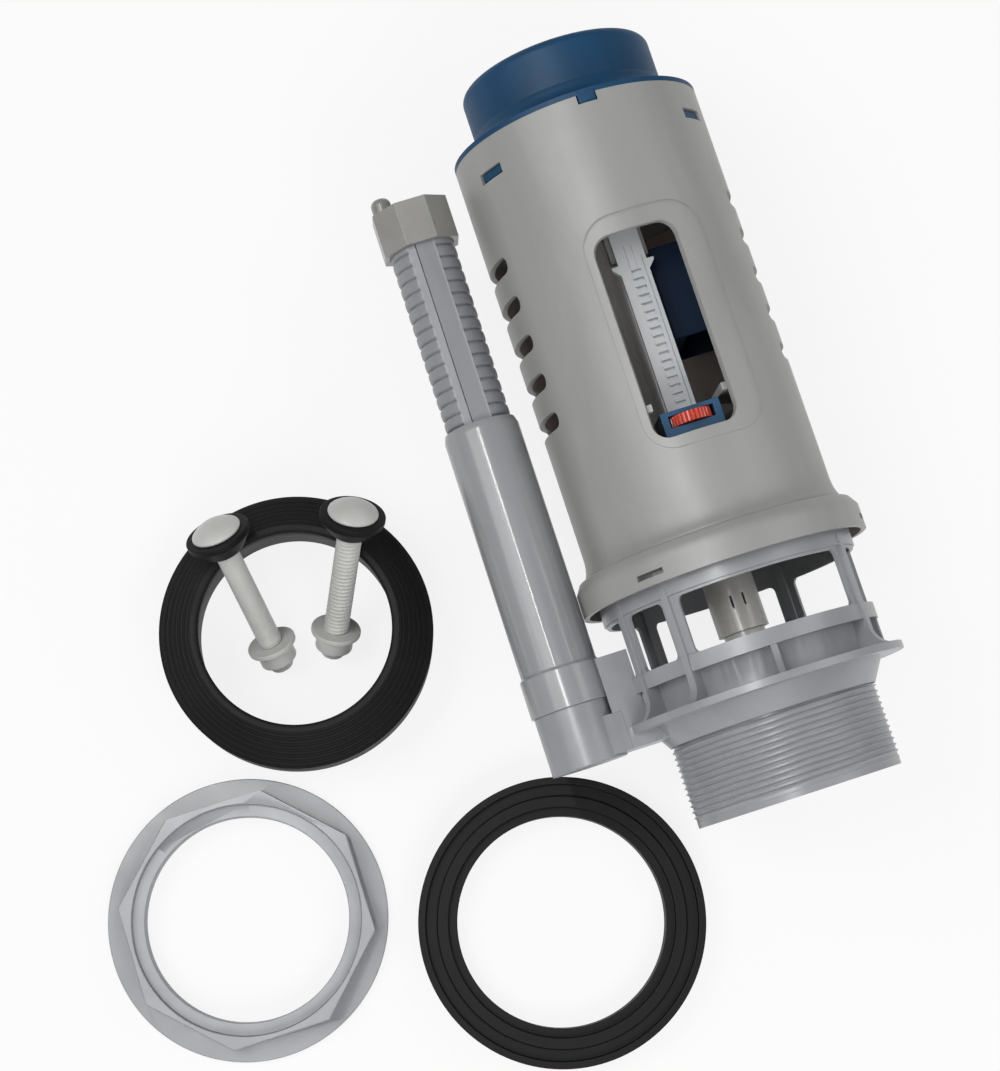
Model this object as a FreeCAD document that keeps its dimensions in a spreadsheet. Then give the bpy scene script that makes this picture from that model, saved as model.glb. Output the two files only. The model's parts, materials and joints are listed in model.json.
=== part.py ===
import FreeCAD, Part
import math
import os
import re

import Sketcher
from FreeCAD import Placement, Rotation, Vector

# A canister flush valve for a cistern, lying on a bench beside its fixing kit.
# Every valve piece is drawn about the valve's axis, with heights counted from the open end
# of the threaded shank, and is then laid on its back, window up.
# Angles are counted from the window side towards the right, seen with the shank down.

doc = FreeCAD.newDocument("flush_valve")
sizes = doc.addObject("Spreadsheet::Sheet", "Sizes")

SIZES = {
    # shank and flange
    "thread_radius": 41, "thread_depth": 1.3, "thread_pitch": 3, "thread_turns": 10, "lead_in": 2,
    "thread_over": 0.1, "bore_radius": 36.5, "neck_radius": 46.5, "flange_bottom": 41,
    "flange_thickness": 3, "flange_radius": 55.5,
    # cage and seat
    "cage_radius": 45, "cage_wall": 2, "band_radius": 50, "band_bottom": 55, "band_height": 6,
    "seat_height": 55, "seat_lip": 2.5, "ring_radius": 50.5, "ring_wall": 2, "ring_bottom": 84,
    "ring_height": 16, "post_radius": 51, "post_thickness": 2.8, "post_inner": 47,
    "post_flare": 9, "rib_thickness": 2.4, "lug_width": 9, "lug_height": 2.6, "lug_reach": 3.2,
    "ledge_width": 18, "ledge_height": 2, "ledge_gap": 0.3, "ledge_clear": 1,
    # casing
    "casing_radius": 50, "casing_wall": 2.2, "casing_top": 273.5, "collar_radius": 57,
    "collar_bottom": 89, "collar_height": 9.5, "collar_wall": 2.4, "flare_radius": 54.5,
    "flare_foot": 102.6, "flare_top": 111, "flare_bend": 16, "window_width": 32.6,
    "window_bottom": 138.6, "window_height": 80, "window_corner": 8.5, "pad_left": 19.5,
    "pad_right": 27.2, "pad_bottom": 134, "pad_height": 92, "pad_corner": 12, "pad_rise": 0.4,
    "slot_length": 43.8, "slot_height": 6.5, "slot_corner": 3.24, "slot_first": 163.2,
    "slot_pitch": 15.9, "slot_count": 5, "clip_width": 12, "clip_height": 3.5,
    "clip_level": 260.5, "key_width": 6.6, "key_depth": 3.2, "wall_cut": 5, "bayonet_width": 11.5,
    "bayonet_height": 2.2, "bayonet_level": 93, "bayonet_cut": 3.8,
    # cup and buttons
    "cup_radius": 38.75, "cup_wall": 2.5, "cup_top": 303, "cup_edge": 4, "cup_flange": 2,
    "skirt_depth": 19, "skirt_wall": 1.9, "button_radius": 30, "button_split": -8,
    "button_gap": 0.5, "lip_thickness": 2.5, "lip_gap": 0.3, "button_sink": 0.8,
    "deck_level": 277.5, "deck_thickness": 2.4, "plunger_radius": 4, "plunger_gap": 0.5,
    "full_plunger": 26, "half_plunger": 21, "tip_radius": 1.5, "tip_length": 4,
    "lip_radius": 32.5, "spring_radius": 6.2, "spring_wire": 0.8, "spring_turns": 5,
    # inner frame and lever
    "frame_level": 236, "frame_thickness": 3, "wall_gap": 0.1, "bush_gap": 0.06,
    "bush_height": 12, "bush_wall": 3, "pin_radius": 2, "pin_gap": 0.05, "pivot_back": 14,
    "lever_thickness": 3.4, "lever_height": 5, "lever_gap": 0.5, "lever_inner": 20,
    "lever_outer": 16, "lever_inside": 11, "lever_bridge": 9, "cheek_thickness": 3,
    "cheek_gap": 2, "cheek_foot": 7, "cheek_top": 4, "vent_place": 31, "vent_radius": 10,
    # stem, plate and seal
    "stem_radius": 10, "stem_wall": 1.8, "stem_bottom": 66, "stem_top": 262, "plate_radius": 40,
    "plate_thickness": 2.5, "seal_radius": 42, "seal_thickness": 2.5, "seal_inner": 30,
    "keeper_radius": 33, "keeper_thickness": 2.2, "keeper_edge": 1, "head_reach": 15.5,
    "head_front": 9, "head_back": 6, "head_thickness": 4, "plug_gap": 0.1, "plug_length": 10,
    "snap_level": 75, "snap_height": 5, "snap_spread": 2.4, "snap_width": 0.8,
    # float block on the stem
    "float_bottom": 179, "float_height": 37, "float_left": 3, "float_right": 36,
    "float_front": 21.5, "float_back": 22, "float_wall": 1.6, "float_ring": 2.6,
    # level rod and its carrier
    "rod_front": 29, "rod_thickness": 2.5, "rod_width": 11.3, "rod_bottom": 140, "rod_top": 218,
    "notch_count": 17, "notch_pitch": 3.36, "notch_first": 153.3, "notch_width": 4,
    "notch_height": 1, "notch_depth": 1.5, "ear_level": 209, "ear_span": 16.7, "ear_height": 4,
    "groove_width": 0.6, "groove_depth": 0.5, "carrier_width": 15, "carrier_thickness": 4,
    "carrier_bottom": 213, "carrier_top": 268, "carrier_foot": 8, "slide_gap": 0.3,
    # carriage and its wheel
    "carriage_width": 23, "carriage_bottom": 138, "carriage_height": 11, "carriage_front": 43.5,
    "carriage_wall": 1.8, "wheel_radius": 8.5, "wheel_thickness": 4, "wheel_level": 145,
    "axle_radius": 1.5, "wheel_gap": 0.3, "wheel_teeth": 30, "tooth_depth": 0.7, "tooth_half": 1,
    # guide plates inside the casing
    "ledge_level": 150.5, "ledge_thickness": 3, "guide_level": 113, "guide_thickness": 3,
    "passage_width": 27, "ledge_hole": 24, "passage_back": 19, "guide_vent_place": 21,
    # overflow pipe and riser
    "pipe_radius": 15, "pipe_wall": 1.7, "pipe_gap": 0.5, "pipe_top": 173, "pipe_taper": 3,
    "bell_bottom": 58, "bell_height": 15, "bell_rise": 1, "socket_bottom": 35, "spigot_wall": 1.9,
    "spigot_short": 3, "joint_place": 56, "duct_width": 24, "duct_wall": 2.4, "duct_bottom": 36,
    "duct_height": 15, "riser_radius": 13, "riser_wall": 2.4, "riser_bottom": 143,
    "rib_pitch": 5.1, "rib_depth": 0.9, "rib_count": 20, "rib_first": 148, "riser_flat": 12,
    "cap_bottom": 247, "cap_height": 17.5, "cap_flats": 30, "cap_wall": 1.8, "mouth_left": 3.3,
    "mouth_right": 6.5, "mouth_half": 7.8, "mouth_bend": 10.4, "nipple_radius": 4,
    "nipple_height": 7.5, "nipple_bore": 1.6, "nipple_place": 10, "nipple_dome": 2.8,
    "riser_hold": 11, "ring_wire": 0.65, "ring_gap": 0.05, "ring_level": 65, "spigot_gap": 0.1,
    "web_left": 59.5, "web_right": 47, "web_top": 72.6,
    # fixing kit, lying flat on the bench
    "washer_inner": 41.5, "washer_outer": 57, "washer_height": 12.5, "washer_step": 2.2,
    "washer_lip": 3, "washer_bead": 4.5, "washer_edge": 3.5, "washer_rise": 1,
    "nut_flange_radius": 55.5, "nut_flange": 3, "nut_corner": 50.75, "nut_height": 13,
    "nut_gap": 0.4, "nut_recess": 3, "nut_mouth": 45, "nut_turns": 3, "nut_lead": 2.25,
    "gasket_outer": 54.5, "gasket_side": 20, "gasket_height": 32, "gasket_top": 41,
    "gasket_inner": 38, "gasket_draft": 1.5, "bolt_radius": 4.7, "bolt_length": 68,
    "bolt_head": 10, "bolt_head_height": 5, "bolt_head_rim": 1, "bolt_lead": 0.8,
    "cone_radius": 13, "cone_height": 9, "cone_rim": 2.5, "cone_tip": 7.5, "bolt_nut_flange": 10,
    "bolt_nut_radius": 7.5, "bolt_nut_height": 9, "bolt_nut_rim": 2, "bolt_nut_place": 4,
    "bolt_fit": 0.05,
    # places on the bench, across and along the valve
    "washer_across": -98, "washer_along": -20, "nut_across": -216, "nut_along": 19,
    "gasket_across": -164, "gasket_along": 121, "left_tail_across": -173.5,
    "left_tail_along": 111, "left_heading": 99, "right_tail_across": -153,
    "right_tail_along": 110, "right_heading": 62, "bench_gap": 0.3,
    # how far a cutting outline runs past the face it cuts
    "cut_over": 1,
}

# Places round the valve, in degrees
POST_ANGLES = (-66, -22.5, 52, 98, 144, -142)
RIB_ANGLES = (-44, 0, 26, 75, 121, 170, -112)
LUG_ANGLES = (-17.5, 72.5, 162.5)
CLIP_ANGLES = (-55, 55, 125, -125)

for line, (alias, number) in enumerate(SIZES.items(), start=1):
    sizes.set("A%d" % line, alias)
    sizes.set("B%d" % line, str(number))
    sizes.setAlias("B%d" % line, alias)
doc.recompute()

SHELF = "flange_bottom + flange_thickness"
WALL_MIDDLE = "cage_radius - cage_wall / 2"
BAND_TOP = "band_bottom + band_height"
PIPE_PLACE = "collar_radius + pipe_gap + pipe_radius"
PIVOT_LEVEL = "(stem_top - lever_gap - lever_height / 2)"
SPIGOT_RADIUS = "pipe_radius - pipe_wall - spigot_gap"
RING_SEAT = "pipe_radius - pipe_wall - 2 * (ring_wire + ring_gap)"
NUT_TURN = 22.5

# Leans tried for a bolt, steepest first, and the part of the gasket's rim looked at, in degrees
LEAN_STEP = 0.1
LEANS = [60 - LEAN_STEP * step for step in range(1, 551)]
RIM_SPREAD = range(-60, 61)

WORD = re.compile(r"\b(" + "|".join(sorted(SIZES, key=len, reverse=True)) + r")\b")


def tied(text):
    """The expression with each named size pointed at the sheet."""
    return WORD.sub(r"Sizes.\1", str(text))


def value(text):
    """The expression's number now."""
    return float(sizes.evalExpression(tied(text)))


def bind(thing, prop, text):
    """Ties one property to an expression of the named sizes."""
    thing.setExpression(prop, tied(text))


def sketch_on(body, plane, angle=0, away="0"):
    """An empty sketch on one of the body's own planes, turned round the axis and set off."""
    sketch = body.newObject("Sketcher::SketchObject", body.Name + "_sketch")
    support = [f for f in body.Origin.OriginFeatures if f.Role == plane][0]
    sketch.AttachmentSupport = [(support, "")]
    sketch.MapMode = "FlatFace"
    sketch.AttachmentOffset = Placement(Vector(), Rotation(Vector(0, 1, 0), angle))
    bind(sketch, "AttachmentOffset.Base.x", "(%s) * sin(%s deg)" % (away, angle))
    bind(sketch, "AttachmentOffset.Base.z", "(%s) * cos(%s deg)" % (away, angle))
    return sketch


def hold(kind, spot, text):
    """The tie of one coordinate of a sketch point: to its expression, or to the axis for 0."""
    if str(text) == "0":
        axis = -2 if kind == "DistanceX" else -1
        return Sketcher.Constraint("PointOnObject", spot[0], spot[1], axis), None
    return Sketcher.Constraint(kind, -1, 1, spot[0], spot[1], value(text)), text


def add_ties(sketch, ties):
    """Adds (constraint, expression or None) pairs to a sketch in one step."""
    first = sketch.ConstraintCount
    sketch.addConstraint([constraint for constraint, text in ties])
    for index, (constraint, text) in enumerate(ties, start=first):
        if text is not None:
            bind(sketch, "Constraints[%d]" % index, text)


def outline(sketch, corners):
    """A closed outline. A corner is (x, y), or (x, y, radius) when an arc arrives at it:
    the arc turns left for a positive radius and right for a negative one."""
    points = [Vector(value(c[0]), value(c[1]), 0) for c in corners]
    starts, ends, ties = [], [], []
    for i, corner in enumerate(corners):
        a, b = points[i - 1], points[i]
        if len(corner) == 2:
            edge = sketch.addGeometry(Part.LineSegment(a, b), False)
            starts.append((edge, 1))
            ends.append((edge, 2))
            continue
        radius = abs(value(corner[2]))
        left = value(corner[2]) > 0
        chord = b - a
        side = Vector(-chord.y, chord.x, 0).normalize() * (1 if left else -1)
        centre = (a + b) * 0.5 + side * math.sqrt(max(radius ** 2 - chord.Length ** 2 / 4, 0))
        first, last = (a, b) if left else (b, a)
        angles = [math.atan2(p.y - centre.y, p.x - centre.x) for p in (first, last)]
        circle = Part.Circle(centre, Vector(0, 0, 1), radius)
        edge = sketch.addGeometry(Part.ArcOfCircle(circle, *angles), False)
        starts.append((edge, 1 if left else 2))
        ends.append((edge, 2 if left else 1))
        ties.append((Sketcher.Constraint("Radius", edge, radius), "abs(%s)" % corner[2]))
    for i, corner in enumerate(corners):
        after = (i + 1) % len(corners)
        ties.append((Sketcher.Constraint("Coincident", *ends[i], *starts[after]), None))
        ties.append(hold("DistanceX", ends[i], corner[0]))
        ties.append(hold("DistanceY", ends[i], corner[1]))
    add_ties(sketch, ties)
    return sketch


def circles(sketch, *rings):
    """Circles given as (x, y, radius)."""
    for x, y, radius in rings:
        centre = Vector(value(x), value(y), 0)
        edge = sketch.addGeometry(Part.Circle(centre, Vector(0, 0, 1), value(radius)), False)
        add_ties(sketch, [hold("DistanceX", (edge, 3), x), hold("DistanceY", (edge, 3), y),
                          (Sketcher.Constraint("Radius", edge, value(radius)), radius)])
    return sketch


def box_corners(left, right, low, high):
    """The corners of a rectangle."""
    return [(left, low), (right, low), (right, high), (left, high)]


def round_box(left, right, low, high, corner):
    """The corners of a rectangle with rounded corners."""
    inset = "(%s)" % corner
    return [
        ("%s + %s" % (left, inset), low), ("%s - %s" % (right, inset), low),
        (right, "%s + %s" % (low, inset), corner), (right, "%s - %s" % (high, inset)),
        ("%s - %s" % (right, inset), high, corner), ("%s + %s" % (left, inset), high),
        (left, "%s - %s" % (high, inset), corner), (left, "%s + %s" % (low, inset)),
        ("%s + %s" % (left, inset), low, corner),
    ][1:]


WINDOW = round_box("-window_width / 2", "window_width / 2", "window_bottom",
                   "window_bottom + window_height", "window_corner")


def new_body(label):
    """An empty body that becomes one piece."""
    body = doc.addObject("PartDesign::Body", label)
    body.Label = label
    return body


def turn(body, *outlines, feature="Revolution"):
    """Turns (radius, height) outlines about the axis, as solid or as grooves."""
    sketch = sketch_on(body, "XZ_Plane")
    for corners in outlines:
        outline(sketch, corners)
    return spin(body, sketch, feature)


def spin(body, sketch, feature="Revolution"):
    """Turns a finished sketch about its own upright axis."""
    made = body.newObject("PartDesign::" + feature, body.Name + "_" + feature.lower())
    made.Profile = sketch
    made.ReferenceAxis = (sketch, ["V_Axis"])
    made.Angle = 360
    sketch.Visibility = False
    return made


def extrude(body, sketch, length, feature="Pad", middle=False):
    """Pads a sketch along its normal, or pockets it against its normal."""
    made = body.newObject("PartDesign::" + feature, body.Name + "_" + feature.lower())
    made.Profile = sketch
    made.Type = 0
    made.Midplane = middle
    bind(made, "Length", length)
    return made


def repeat(body, feature, pitch, count, axis="V_Axis"):
    """Repeats a feature in a row along one axis of its own sketch."""
    row = body.newObject("PartDesign::LinearPattern", body.Name + "_row")
    row.Originals = [feature]
    row.Direction = (feature.Profile[0], [axis])
    row.Mode = 0
    bind(row, "Length", "(%s) * ((%s) - 1)" % (pitch, count))
    bind(row, "Occurrences", count)
    body.Tip = row
    return row


def lie_down(piece):
    """Lays a valve piece on its back. The frame's origin is where the thread begins."""
    piece.Placement = Placement(Vector(), Rotation(Vector(1, 0, 0), -90))
    bind(piece, "Placement.Base.y", "-lead_in")


def set_on_bench(piece, across, along):
    """Sets a kit piece flat on the bench, which the valve's collar touches."""
    bind(piece, "Placement.Base.x", across)
    bind(piece, "Placement.Base.y", along)
    bind(piece, "Placement.Base.z", "-collar_radius")


def make_base():
    """The base moulding as four touching pieces: shank, inlet band, cage and elbow."""
    pieces = make_shank(), make_band(), make_cage(), make_elbow()
    for piece in pieces:
        lie_down(piece)
    return pieces


def make_shank():
    """Threaded shank with its flange, the seat lip and the stub of the overflow duct."""
    shank = new_body("base_shank")
    turn(shank, [
        ("bore_radius", "0"), ("thread_radius - thread_depth", "0"),
        ("thread_radius", "lead_in"), ("thread_radius", "lead_in + thread_pitch * thread_turns"),
        ("neck_radius", "flange_bottom"), ("flange_radius", "flange_bottom"),
        ("flange_radius", SHELF), ("bore_radius + seat_lip", SHELF),
        ("bore_radius + seat_lip", "seat_height"), ("bore_radius", "seat_height"),
    ])
    stub = outline(sketch_on(shank, "YZ_Plane", 0, "-joint_place"), box_corners(
        "-duct_width / 2", "duct_width / 2", "duct_bottom", SHELF))
    extrude(shank, stub, "joint_place - bore_radius - seat_lip / 2")
    valleys = []
    steep = "thread_pitch / 3 * (1 + thread_over / thread_depth)"
    for ridge in range(int(value("thread_turns"))):
        foot = "lead_in + thread_pitch * (%d + 2 / 3)" % ridge
        valleys.append([("thread_radius - thread_depth", foot),
                        ("thread_radius + thread_over", "%s + %s" % (foot, steep)),
                        ("thread_radius + thread_over", "%s - %s" % (foot, steep))])
    turn(shank, *valleys, feature="Groove")
    cut_channel(shank)
    return shank


def cut_channel(body):
    """Cuts the overflow duct's waterway, from the bore to the pipe's axis."""
    channel = outline(sketch_on(body, "YZ_Plane", 0, "-(bore_radius - cut_over)"), box_corners(
        "-duct_width / 2 + duct_wall", "duct_width / 2 - duct_wall",
        "duct_bottom + duct_wall", "duct_bottom + duct_height - duct_wall"))
    extrude(body, channel, "%s - bore_radius + cut_over" % PIPE_PLACE, "Pocket")


def make_band():
    """The wall and band on the flange, with its ribs, post feet, duct roof and web."""
    band = new_body("inlet_band")
    turn(band, [
        ("cage_radius - cage_wall", SHELF), ("cage_radius", SHELF),
        ("cage_radius", "band_bottom"), ("band_radius", "band_bottom"),
        ("band_radius", BAND_TOP), ("cage_radius - cage_wall", BAND_TOP),
    ])
    for angle in POST_ANGLES:
        foot = outline(sketch_on(band, "XZ_Plane", angle - 90), [
            (WALL_MIDDLE, SHELF), ("flange_radius", SHELF),
            ("post_radius", "%s + post_flare * 2 / 3" % SHELF, "-post_flare"),
            ("post_radius", BAND_TOP), (WALL_MIDDLE, BAND_TOP),
        ])
        extrude(band, foot, "post_thickness", middle=True)
    for angle in RIB_ANGLES:
        rib = outline(sketch_on(band, "XZ_Plane", angle - 90), box_corners(
            WALL_MIDDLE, "band_radius - rib_thickness / 4", SHELF,
            "band_bottom + band_height / 2"))
        extrude(band, rib, "rib_thickness", middle=True)
    roof = outline(sketch_on(band, "YZ_Plane", 0, "-joint_place"), box_corners(
        "-duct_width / 2", "duct_width / 2", SHELF, "duct_bottom + duct_height"))
    extrude(band, roof, "joint_place - (%s)" % WALL_MIDDLE)
    web = outline(sketch_on(band, "XZ_Plane", 0, "duct_width / 2 - duct_wall"), [
        ("-web_left", "duct_bottom + duct_height"),
        ("-web_right", "duct_bottom + duct_height"), ("-web_right", "web_top"),
        ("-web_left", "web_top"),
    ])
    extrude(band, web, "duct_wall")
    cut_channel(band)
    return band


def make_cage():
    """The posts above the band, the ring they carry and the ring's three bayonet lugs."""
    cage = new_body("inlet_cage")
    turn(cage, box_corners("ring_radius - ring_wall", "ring_radius",
                           "ring_bottom", "ring_bottom + ring_height"))
    for angle in POST_ANGLES:
        post = outline(sketch_on(cage, "XZ_Plane", angle - 90), box_corners(
            "post_inner", "post_radius", BAND_TOP, "ring_bottom + ring_height"))
        extrude(cage, post, "post_thickness", middle=True)
    for angle in LUG_ANGLES:
        lug = outline(sketch_on(cage, "XZ_Plane", angle, "ring_radius - ring_wall / 2"),
                      box_corners("-lug_width / 2", "lug_width / 2",
                                  "bayonet_level - lug_height / 2",
                                  "bayonet_level + lug_height / 2"))
        extrude(cage, lug, "lug_reach + ring_wall / 2")
    return cage


def make_elbow():
    """The elbow beside the flange: the duct's outer end and a spigot for the pipe."""
    elbow = new_body("overflow_elbow")
    duct = outline(sketch_on(elbow, "YZ_Plane", 0, "-(%s)" % PIPE_PLACE), box_corners(
        "-duct_width / 2", "duct_width / 2", "duct_bottom", "duct_bottom + duct_height"))
    extrude(elbow, duct, "%s - joint_place" % PIPE_PLACE)
    for low, length, radius in (("socket_bottom", "bell_bottom - socket_bottom", "pipe_radius"),
                                ("bell_bottom", "bell_height - spigot_short", SPIGOT_RADIUS)):
        barrel = circles(sketch_on(elbow, "XY_Plane", 0, low),
                         ("-(%s)" % PIPE_PLACE, "0", radius))
        extrude(elbow, barrel, length)
    cut_channel(elbow)
    well = circles(sketch_on(elbow, "XY_Plane", 0, "bell_bottom + bell_height"),
                   ("-(%s)" % PIPE_PLACE, "0", "%s - spigot_wall" % SPIGOT_RADIUS))
    extrude(elbow, well, "bell_bottom + bell_height - (duct_bottom + duct_wall)", "Pocket")
    seat = sketch_on(elbow, "XZ_Plane")
    bind(seat, "AttachmentOffset.Base.x", "-(%s)" % PIPE_PLACE)
    outline(seat, box_corners(RING_SEAT, "pipe_radius", "ring_level - ring_wire - spigot_gap",
                              "ring_level + ring_wire + spigot_gap"))
    spin(elbow, seat, "Groove")
    return elbow


def on_pipe_axis(piece):
    """Moves a laid-down piece from the valve's axis to the overflow pipe's."""
    bind(piece, "Placement.Base.x", "-(%s)" % PIPE_PLACE)


def make_overflow():
    """The fixed pipe with its bell, its seal ring, the ribbed riser and the faceted cap."""
    pipe = new_body("overflow_pipe")
    bore = "pipe_radius - pipe_wall"
    turn(pipe, [
        (bore, "bell_bottom"), ("pipe_radius + bell_rise", "bell_bottom"),
        ("pipe_radius + bell_rise", "bell_bottom + bell_height"),
        ("pipe_radius", "bell_bottom + bell_height + bell_rise"),
        ("pipe_radius", "pipe_top - pipe_taper"), ("pipe_radius - pipe_wall / 2", "pipe_top"),
        (bore, "pipe_top"),
    ])
    ring = new_body("overflow_oring")
    spin(ring, circles(sketch_on(ring, "XZ_Plane"),
                       (RING_SEAT + " + ring_wire + ring_gap", "ring_level", "ring_wire")))
    riser = new_body("overflow_riser")
    turn(riser, box_corners("riser_radius - riser_wall", "riser_radius", "riser_bottom",
                            "cap_bottom + riser_hold"))
    valleys = []
    for rib in range(int(value("rib_count"))):
        foot = "rib_first + rib_pitch * %d" % rib
        valleys.append([("riser_radius - rib_depth", foot),
                        ("riser_radius + thread_over", foot + " + rib_pitch / 4"),
                        ("riser_radius + thread_over", foot + " - rib_pitch / 4")])
    turn(riser, *valleys, feature="Groove")
    flats = sketch_on(riser, "XY_Plane", 0, "cap_bottom + riser_hold + cut_over")
    for near, far in (("riser_flat", "riser_radius + cut_over"),
                      ("-riser_radius - cut_over", "-riser_flat")):
        outline(flats, box_corners("-riser_radius", "riser_radius", near, far))
    extrude(riser, flats, "cap_bottom + riser_hold - riser_bottom + 2 * cut_over", "Pocket")
    cap = make_cap()
    for piece in (pipe, ring, riser, cap):
        lie_down(piece)
        on_pipe_axis(piece)
    return pipe, ring, riser, cap


def make_cap():
    """Eight-sided cap over the riser with a nipple for the refill hose."""
    cap = new_body("overflow_cap")
    half, part = "cap_flats / 2", "cap_flats / 2 * tan(22.5 deg)"
    octagon = [(part, "-" + half), (half, "-" + part), (half, part), (part, half),
               ("-" + part, half), ("-" + half, part), ("-" + half, "-" + part),
               ("-" + part, "-" + half)]
    extrude(cap, outline(sketch_on(cap, "XY_Plane", 0, "cap_bottom"), octagon), "cap_height")
    inside = circles(sketch_on(cap, "XY_Plane", 0, "cap_bottom + cap_height - cap_wall"),
                     ("0", "0", "riser_radius + plug_gap"))
    extrude(cap, inside, "cap_height - cap_wall", "Pocket")
    mouth = outline(sketch_on(cap, "XY_Plane", 0, "cap_bottom + cap_height + cut_over"), [
        ("-mouth_left", "-mouth_half"), ("mouth_right", "-mouth_half"),
        ("mouth_right", "mouth_half", "mouth_bend"), ("-mouth_left", "mouth_half"),
    ])
    extrude(cap, mouth, "cap_wall + 2 * cut_over", "Pocket")
    nipple = circles(sketch_on(cap, "XY_Plane", 0, "cap_bottom + cap_height - cap_wall / 2"),
                     ("-nipple_place", "0", "nipple_radius"))
    made = extrude(cap, nipple, "nipple_height + cap_wall / 2")
    doc.recompute()
    rim = [("Edge%d" % (i + 1)) for i, e in enumerate(made.Shape.Edges)
           if e.BoundBox.ZMin > value("cap_bottom + cap_height + nipple_height - thread_over")]
    dome = cap.newObject("PartDesign::Fillet", "nipple_dome")
    dome.Base = (made, rim)
    bind(dome, "Radius", "nipple_dome")
    drill = circles(sketch_on(cap, "XY_Plane", 0, "cap_bottom + cap_height + nipple_height + cut_over"),
                    ("-nipple_place", "0", "nipple_bore"))
    extrude(cap, drill, "nipple_height + cap_wall + 2 * cut_over", "Pocket")
    return cap


def make_casing():
    """The outer tube with its flared collar, window, side slots and raised window pad."""
    shell = new_body("casing_shell")
    inside = "casing_radius - casing_wall"
    turn(shell, [
        ("collar_radius - collar_wall", "collar_bottom"), ("collar_radius", "collar_bottom"),
        ("collar_radius", "collar_bottom + collar_height"), ("flare_radius", "flare_foot"),
        ("casing_radius", "flare_top", "-flare_bend"), ("casing_radius", "casing_top"),
        (inside, "casing_top"), (inside, "flare_top"),
        ("flare_radius - casing_wall", "flare_foot", "flare_bend"),
        ("collar_radius - collar_wall", "collar_bottom + collar_height"),
    ])
    for angle in LUG_ANGLES:
        ledge = outline(sketch_on(shell, "XZ_Plane", angle, "ring_radius + ledge_clear"), box_corners(
            "-ledge_width / 2", "ledge_width / 2",
            "bayonet_level - lug_height / 2 - ledge_gap - ledge_height",
            "bayonet_level - lug_height / 2 - ledge_gap"))
        extrude(shell, ledge, "collar_radius - collar_wall / 2 - ring_radius - ledge_clear")
    window = outline(sketch_on(shell, "XZ_Plane", 0, "casing_radius + cut_over"), WINDOW)
    extrude(shell, window, "casing_radius / 2", "Pocket")
    slot = outline(sketch_on(shell, "YZ_Plane", 0, "casing_radius + cut_over"), round_box(
        "-slot_length / 2", "slot_length / 2", "slot_first - slot_height / 2",
        "slot_first + slot_height / 2", "slot_corner"))
    cut = extrude(shell, slot, "2 * (casing_radius + cut_over)", "Pocket")
    repeat(shell, cut, "slot_pitch", "slot_count")
    for angle in CLIP_ANGLES:
        opening = outline(sketch_on(shell, "XZ_Plane", angle, "casing_radius + cut_over"), box_corners(
            "-clip_width / 2", "clip_width / 2", "clip_level - clip_height / 2",
            "clip_level + clip_height / 2"))
        extrude(shell, opening, "wall_cut", "Pocket")
    for angle in LUG_ANGLES:
        opening = outline(sketch_on(shell, "XZ_Plane", angle, "collar_radius + cut_over"), box_corners(
            "-bayonet_width / 2", "bayonet_width / 2", "bayonet_level - bayonet_height / 2",
            "bayonet_level + bayonet_height / 2"))
        extrude(shell, opening, "bayonet_cut", "Pocket")
    notch = outline(sketch_on(shell, "XZ_Plane", 0, "casing_radius + cut_over"), box_corners(
        "-key_width / 2 - slide_gap", "key_width / 2 + slide_gap",
        "casing_top - key_depth - slide_gap", "casing_top + cut_over"))
    extrude(shell, notch, "wall_cut", "Pocket")
    casing = doc.addObject("Part::MultiFuse", "casing")
    casing.Label = "casing"
    casing.Shapes = [shell, make_window_pad()]
    casing.Refine = False
    lie_down(casing)
    return casing


def make_window_pad():
    """The thin raised panel round the window, cut from a ring of the casing's curve."""
    pad = new_body("window_pad")
    low, high = "pad_bottom - cut_over", "pad_bottom + pad_height + cut_over"
    edge = "(casing_radius + 2 * cut_over)"
    around = box_corners("-" + edge, edge, low + " - cut_over", high + " + cut_over")
    turn(pad, box_corners("casing_radius - casing_wall / 2", "casing_radius + pad_rise",
                          low, high))
    frame = sketch_on(pad, "XZ_Plane", 0, edge)
    outline(frame, around)
    outline(frame, round_box("-pad_left", "pad_right", "pad_bottom",
                             "pad_bottom + pad_height", "pad_corner"))
    outline(frame, WINDOW)
    extrude(pad, frame, edge, "Pocket")
    extrude(pad, outline(sketch_on(pad, "XZ_Plane"), around), edge, "Pocket")
    return pad


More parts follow.
